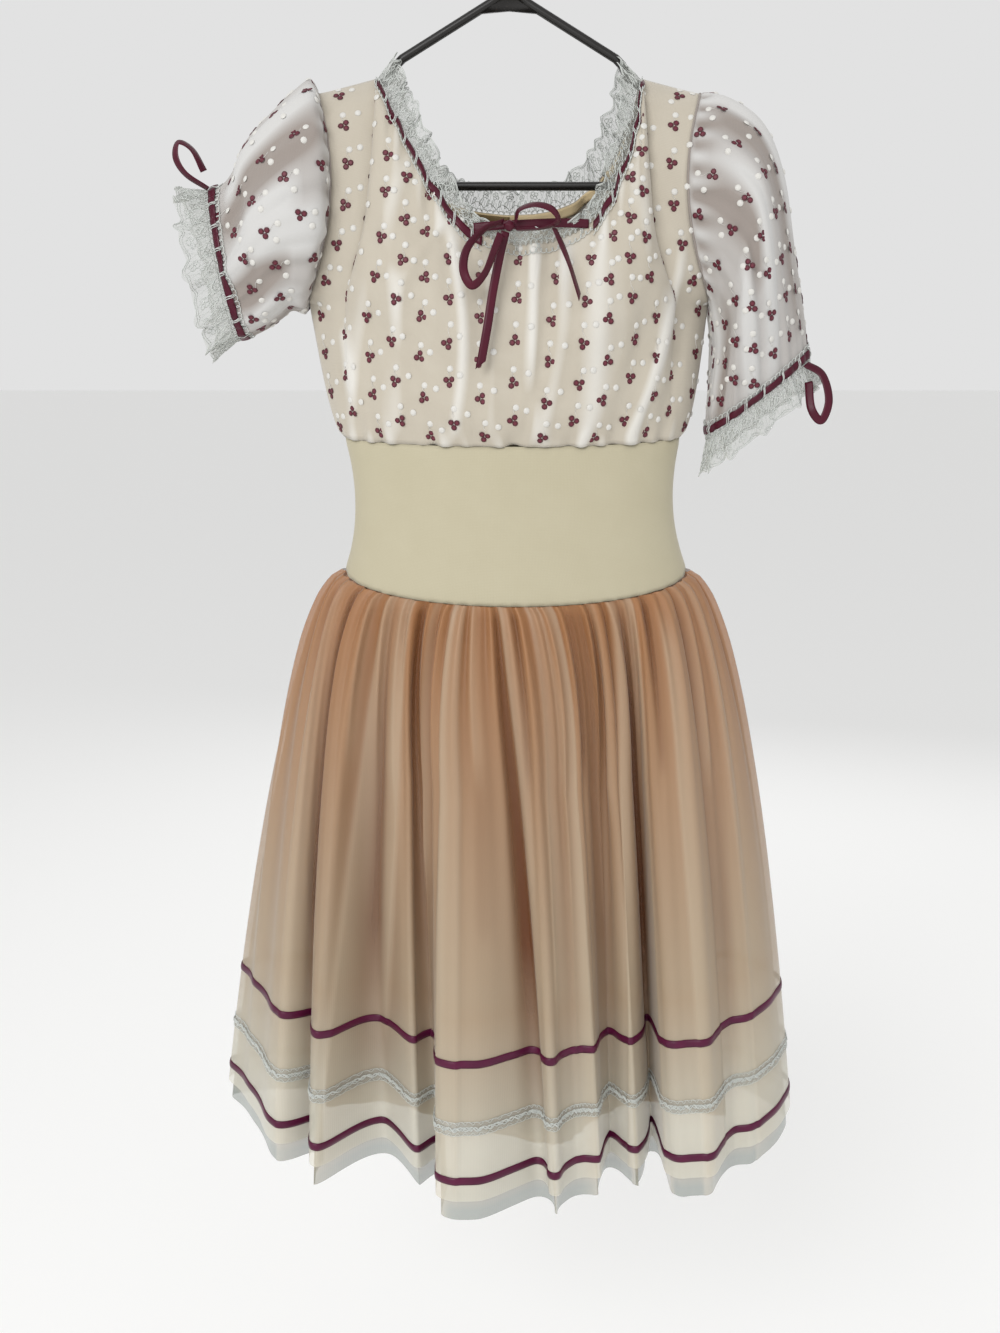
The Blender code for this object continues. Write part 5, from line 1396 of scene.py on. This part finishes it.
CUFF_LACE_LENGTH = 26 * MM
CUFF_LACE_FLARE = 7 * MM
CUFF_LACE_WAVE = 3.4 * MM
CUFF_FULLNESS = 1.2
for name, table, _, side in SLEEVES:
    edge = sleeve_sheets[name][0][-1]
    end = table[-1]
    before = table[-2]
    flow = np.array([side * (end.top_x + end.low_x - before.top_x - before.low_x), 0.0,
                     end.top_z + end.low_z - before.top_z - before.low_z])
    flow /= np.linalg.norm(flow)
    radial = edge - edge.mean(axis=0)
    radial /= np.linalg.norm(radial, axis=1, keepdims=True)
    along = np.roll(edge, -1, axis=0) - np.roll(edge, 1, axis=0)
    along /= np.linalg.norm(along, axis=1, keepdims=True)
    turn = np.arange(SLEEVE_COLUMNS) / SLEEVE_COLUMNS * 2.0 * math.pi
    flute = np.sin(12 * turn + 0.6) + 0.45 * np.sin(19 * turn + 2.0)
    rows = []
    for share in np.linspace(0.0, 1.0, 15):
        curl = share ** 1.2
        sway = 0.06 * np.cos(12 * turn)
        scallop = 0.12 * (1.0 - np.abs(np.sin(11 * turn))) * curl
        reach = CUFF_LACE_LENGTH * share * (1.0 + sway - scallop)
        row = edge + flow * (0.6 * MM + reach)[:, None]
        row = row + radial * ((CUFF_LACE_FLARE + CUFF_LACE_WAVE * flute) * curl)[:, None]
        row = row + along * (np.cos(12 * turn + 0.6) * 2.0 * MM * curl)[:, None]
        rows.append(row)
    lace_piece("cuff_lace_" + name, np.array(rows), line_length(edge) * CUFF_FULLNESS, CUFF_LACE_LENGTH,
               True, "cuff_lace_" + name)

# Threaded ribbons
# Narrow wine satin ribbon run through a beading of white thread, which crosses it every 18 mm
# and stands out in small loops along both of its sides: round the neck and round both cuffs.
wine_satin = satin("wine_satin_ribbon", "#560524", "#360216")
BEADING_STEP = 18 * MM
LOOP_STEP = 4.6 * MM
BEADING_RADIUS = 0.38 * MM
NECK_RIBBON_NEAR = 1.6 * MM
NECK_RIBBON_FAR = 1.8 * MM + RIBBON_WIDTH * 1.08
NECK_RIBBON_LIFT = 1.7 * MM
CUFF_RIBBON_NEAR = 0.4 * MM
CUFF_RIBBON_LIFT = 1.6 * MM


def beading(name, upper, lower, normals):
    """The white crossings and looped edges that hold a ribbon between two lines."""
    middle = (upper + lower) / 2.0
    reach = reach_along(middle)

    def at(line, distance):
        return np.stack([np.interp(distance, reach, line[:, axis]) for axis in range(3)], axis=1)

    lines = []
    for stop in np.arange(BEADING_STEP / 2.0, reach[-1], BEADING_STEP):
        for shift, lean in ((-0.9, 0.8), (0.0, -0.6), (0.9, 0.3)):
            share = np.linspace(-0.15, 1.15, 8)[:, None]
            where = stop + (shift + lean * share[:, 0]) * MM
            crossing = at(upper, where) * (1.0 - share) + at(lower, where) * share
            arch = (1.5 + 1.3 * np.sin(math.pi * np.clip(share, 0, 1))) * MM
            lines.append(crossing + at(normals, where) * arch)
    distance = np.arange(0.0, reach[-1], 0.45 * MM)
    for side, other in ((upper, lower), (lower, upper)):
        outward = at(side, distance) - at(other, distance)
        outward /= np.linalg.norm(outward, axis=1, keepdims=True)
        turn = distance / LOOP_STEP * 2.0 * math.pi
        shifted = distance + 1.5 * MM * np.sin(turn)
        stand = (2.1 + 1.7 * np.cos(turn))[:, None] * MM
        lines.append(at(side, shifted) + outward * stand + at(normals, distance) * 1.1 * MM)
    points, faces = tubes(lines, BEADING_RADIUS)
    sew_on(plain_mesh(name, points, faces), lace_thread, "lace")


def edge_lines(grid, columns, near, far):
    """Two lines on a sheet beside its last row, at two distances from that edge."""
    lines = []
    for distance in (near, far):
        line = []
        for column in columns:
            path = grid[::-1, column][:24]
            reach = reach_along(path)
            line.append([np.interp(distance, reach, path[:, axis]) for axis in range(3)])
        lines.append(np.array(line))
    return lines


def ribbon_strip(name, upper, lower, normals, lift, node):
    """A flat ribbon between two lines, drawn in a little where the beading crosses it."""
    middle = (upper + lower) / 2.0
    reach = reach_along(middle)
    nip = 0.14 * np.exp(-((reach % BEADING_STEP - BEADING_STEP / 2.0) / (1.6 * MM)) ** 2)
    rows = []
    for share in (0.0, 0.33, 0.67, 1.0):
        part = (share + (0.5 - share) * nip)[:, None]
        arch = 0.35 * MM * math.sin(math.pi * share)
        rows.append(upper * (1.0 - part) + lower * part + normals * (lift + arch))
    strip = sheet_mesh(name, np.array(rows), (float(reach[-1]), RIBBON_WIDTH))
    thicken(strip, RIBBON_THICKNESS)
    sew_on(strip, wine_satin, "neck_ribbon", node)


neck_runs = (
    ("left", front_grid, front_normals, range(neck_first, neck_middle - 2 * FINE + 1)),
    ("right", front_grid, front_normals, range(neck_middle + 4 * FINE, neck_last + 1)),
    ("back", back_grid, back_normals, range(neck_first + FINE, neck_last - FINE + 1)),
)
for name, grid, normals, columns in neck_runs:
    near, far = edge_lines(grid, columns, NECK_RIBBON_NEAR, NECK_RIBBON_FAR)
    outward = normals[-4, list(columns)]
    ribbon_strip("neck_ribbon_" + name + "_satin", near, far, outward, NECK_RIBBON_LIFT,
                 "neck_ribbon_" + name)
    beading("neck_beading_" + name, near, far, outward)
centre_columns = list(range(neck_middle - 2 * FINE, neck_middle + 4 * FINE + 1))
near, far = edge_lines(front_grid, centre_columns, 1.0 * MM, 4.0 * MM)
beading("neck_beading_front", near, far, front_normals[-4, centre_columns])

cuff_columns = list(range(SLEEVE_COLUMNS)) + [0]
for name in ("right", "left"):
    grid, normals, _ = sleeve_sheets[name]
    near, far = edge_lines(grid, cuff_columns, CUFF_RIBBON_NEAR, CUFF_RIBBON_NEAR + RIBBON_WIDTH)
    outward = normals[-3, cuff_columns]
    ribbon_strip("cuff_ribbon_" + name + "_satin", far, near, outward, CUFF_RIBBON_LIFT,
                 "cuff_ribbon_" + name)
    beading("cuff_beading_" + name, far, near, outward)

# Bows
# The neck ribbon is tied in a soft bow at the centre front; each cuff's ribbon ends in one loop.
# The satin is limp, so the loops droop and the tails turn edge on.
TAPE_LENGTH = 0.05
TapePoint = namedtuple("TapePoint", "x y z turn")
NECK_RIBBON_FRONT = (
    TapePoint(-26, -57.4, -254, 0),
    TapePoint(-10, -61.5, -253, 0),
    TapePoint(12, -62, -252, 0),
    TapePoint(36, -60.5, -251, 0),
    TapePoint(58, -54.6, -251, 0),
)
BOW_LEFT_LOOP = (
    TapePoint(-4.5, -69, -251, 60),
    TapePoint(-18, -77, -257, 55),
    TapePoint(-30, -81, -270, 35),
    TapePoint(-33, -82, -285, 10),
    TapePoint(-27, -82, -296, -20),
    TapePoint(-18, -80, -288, -45),
    TapePoint(-11, -78, -272, -35),
    TapePoint(-6, -73, -260, -20),
)
BOW_RIGHT_LOOP = (
    TapePoint(4.1, -67.7, -250.3, 70),
    TapePoint(7, -71, -243, 60),
    TapePoint(18, -76, -240, 50),
    TapePoint(30, -76, -243, 40),
    TapePoint(35, -73, -251, 60),
    TapePoint(24, -71, -256, 80),
    TapePoint(5, -68, -257, 85),
)
BOW_LEFT_TAIL = (
    TapePoint(-2.8, -67.8, -257.8, 20),
    TapePoint(-7, -69, -275, 12),
    TapePoint(-12, -73, -300, 10),
    TapePoint(-16, -77, -325, 6),
    TapePoint(-21, -77, -352, 4),
)
BOW_RIGHT_TAIL = (
    TapePoint(32.3, -70.1, -255.5, 60),
    TapePoint(38, -73, -268, 50),
    TapePoint(44, -76, -283, 60),
    TapePoint(51, -76, -304, 60),
)
CUFF_BOW_LEFT = (
    TapePoint(-226.9, -14.0, -221.8, 60),
    TapePoint(-242, -20, -212, 50),
    TapePoint(-249, -20, -200, 35),
    TapePoint(-247, -18, -189, 50),
    TapePoint(-237, -16, -194, 60),
    TapePoint(-229.5, -13.5, -209, 45),
)
CUFF_BOW_RIGHT = (
    TapePoint(228.7, -18.8, -350.6, 30),
    TapePoint(240, -27.5, -359, 20),
    TapePoint(245, -31, -378, 10),
    TapePoint(240, -31, -393, 10),
    TapePoint(232, -30, -384, 20),
    TapePoint(230.6, -22.6, -364, 30),
)


def tape(node, table, slant):
    """A length of flat ribbon along a path, its last end cut at a slant.

    A point's turn swings the ribbon's face from the front view (0) to edge on (90).
    """
    line = catmull([(row.x, row.y, row.z, row.turn) for row in table], 14)
    middle = line[:, :3] * MM
    swing = np.radians(line[:, 3])
    along = np.gradient(middle, axis=0)
    along /= np.linalg.norm(along, axis=1, keepdims=True)
    across = np.cross(along, np.array([0.0, -1.0, 0.0]))
    across /= np.linalg.norm(across, axis=1, keepdims=True)
    depth = np.cross(across, along)
    width = across * np.cos(swing)[:, None] + depth * np.sin(swing)[:, None]
    face = np.cross(width, along)
    face /= np.linalg.norm(face, axis=1, keepdims=True)
    rows = []
    end = np.clip(np.arange(len(line)) - len(line) + 3, 0, 2) / 2.0
    for share in (-0.5, -0.2, 0.2, 0.5):
        row = middle + width * RIBBON_WIDTH * share + face * 0.3 * MM * (0.5 - abs(share))
        rows.append(row + along * (end * slant * share)[:, None])
    piece = sheet_mesh(node + "_satin", np.array(rows), (TAPE_LENGTH, RIBBON_WIDTH))
    thicken(piece, RIBBON_THICKNESS)
    sew_on(piece, wine_satin, "neck_ribbon", node)


for node, table, slant in (
        ("neck_ribbon_front", NECK_RIBBON_FRONT, 0.0),
        ("bow_loop_left", BOW_LEFT_LOOP, 0.0),
        ("bow_loop_right", BOW_RIGHT_LOOP, 0.0),
        ("bow_tail_left", BOW_LEFT_TAIL, 7 * MM),
        ("bow_tail_right", BOW_RIGHT_TAIL, 5 * MM),
        ("cuff_bow_left", CUFF_BOW_LEFT, 0.0),
        ("cuff_bow_right", CUFF_BOW_RIGHT, 0.0)):
    tape(node, table, slant)

KNOT_CENTRE = (0.0, -66.2 * MM, -253.5 * MM)
KNOT_RADII = (4.3 * MM, 3.2 * MM, 4.1 * MM)
bpy.ops.object.select_all(action="DESELECT")
bpy.ops.mesh.primitive_uv_sphere_add(segments=32, ring_count=20, radius=1.0, location=(0.0, 0.0, 0.0))
knot = bpy.context.active_object
knot.name = "bow_knot_satin"
knot.data.name = "bow_knot_satin"
for vertex in knot.data.vertices:
    wrap = 1.0 + 0.10 * math.cos(5.0 * vertex.co.z + 2.0 * vertex.co.x)
    vertex.co = Vector((KNOT_CENTRE[0] + vertex.co.x * KNOT_RADII[0] * wrap,
                        KNOT_CENTRE[1] + vertex.co.y * KNOT_RADII[1] * wrap,
                        KNOT_CENTRE[2] + vertex.co.z * KNOT_RADII[2] * (1.0 - 0.2 * abs(vertex.co.x))))
knot.data.uv_layers[0].name = "cloth"
knot.data.polygons.foreach_set("use_smooth", [True] * len(knot.data.polygons))
sew_on(knot, wine_satin, "neck_ribbon", "bow_knot")

# Facing and label
# A cream cotton facing finishes the inside of the back neck, with a small woven label, left blank.
FACING_FLAT = (0.20, 0.0105)
FACING_DEPTH = 2.0 * MM
LABEL_SIZE = (0.034, 0.0065)
LABEL_DEPTH = 3.1 * MM
cream_facing = new_finish("cream_cotton_facing", "#E1CDA5", 0.8, Sheen_Weight=0.2)
knit_or_weave(cream_facing, "#E4D1AB", "#D6BF93", 0.9 * MM, 0.1 * MM)


def inside_neck(columns, near, far, depth, rows):
    """Rows of a strip inside the back neck, between two distances below its edge."""
    columns = list(columns)
    upper, lower = edge_lines(back_grid, columns, near, far)
    outward = back_normals[-4, columns]
    return np.array([upper * (1.0 - share) + lower * share - outward * depth
                     for share in np.linspace(0.0, 1.0, rows)])


facing = sheet_mesh("neck_facing_cotton",
                    inside_neck(range(neck_first + 3 * FINE, neck_last - 3 * FINE + 1),
                                0.5 * MM, 9.0 * MM, FACING_DEPTH, 5), FACING_FLAT)
thicken(facing, 0.5 * MM)
sew_on(facing, cream_facing, "facing", "neck_facing")

woven_label = new_finish("blank_woven_label", "#7A6540", 0.75)
knit_or_weave(woven_label, "#7E6942", "#6C5836", 0.8 * MM, 0.1 * MM)
label = sheet_mesh("neck_label_blank",
                   inside_neck(range(neck_middle - 3 * FINE, neck_middle + 1),
                               1.5 * MM, 8.0 * MM, LABEL_DEPTH, 4), LABEL_SIZE)
thicken(label, 0.4 * MM)
sew_on(label, woven_label, "label", "neck_label")
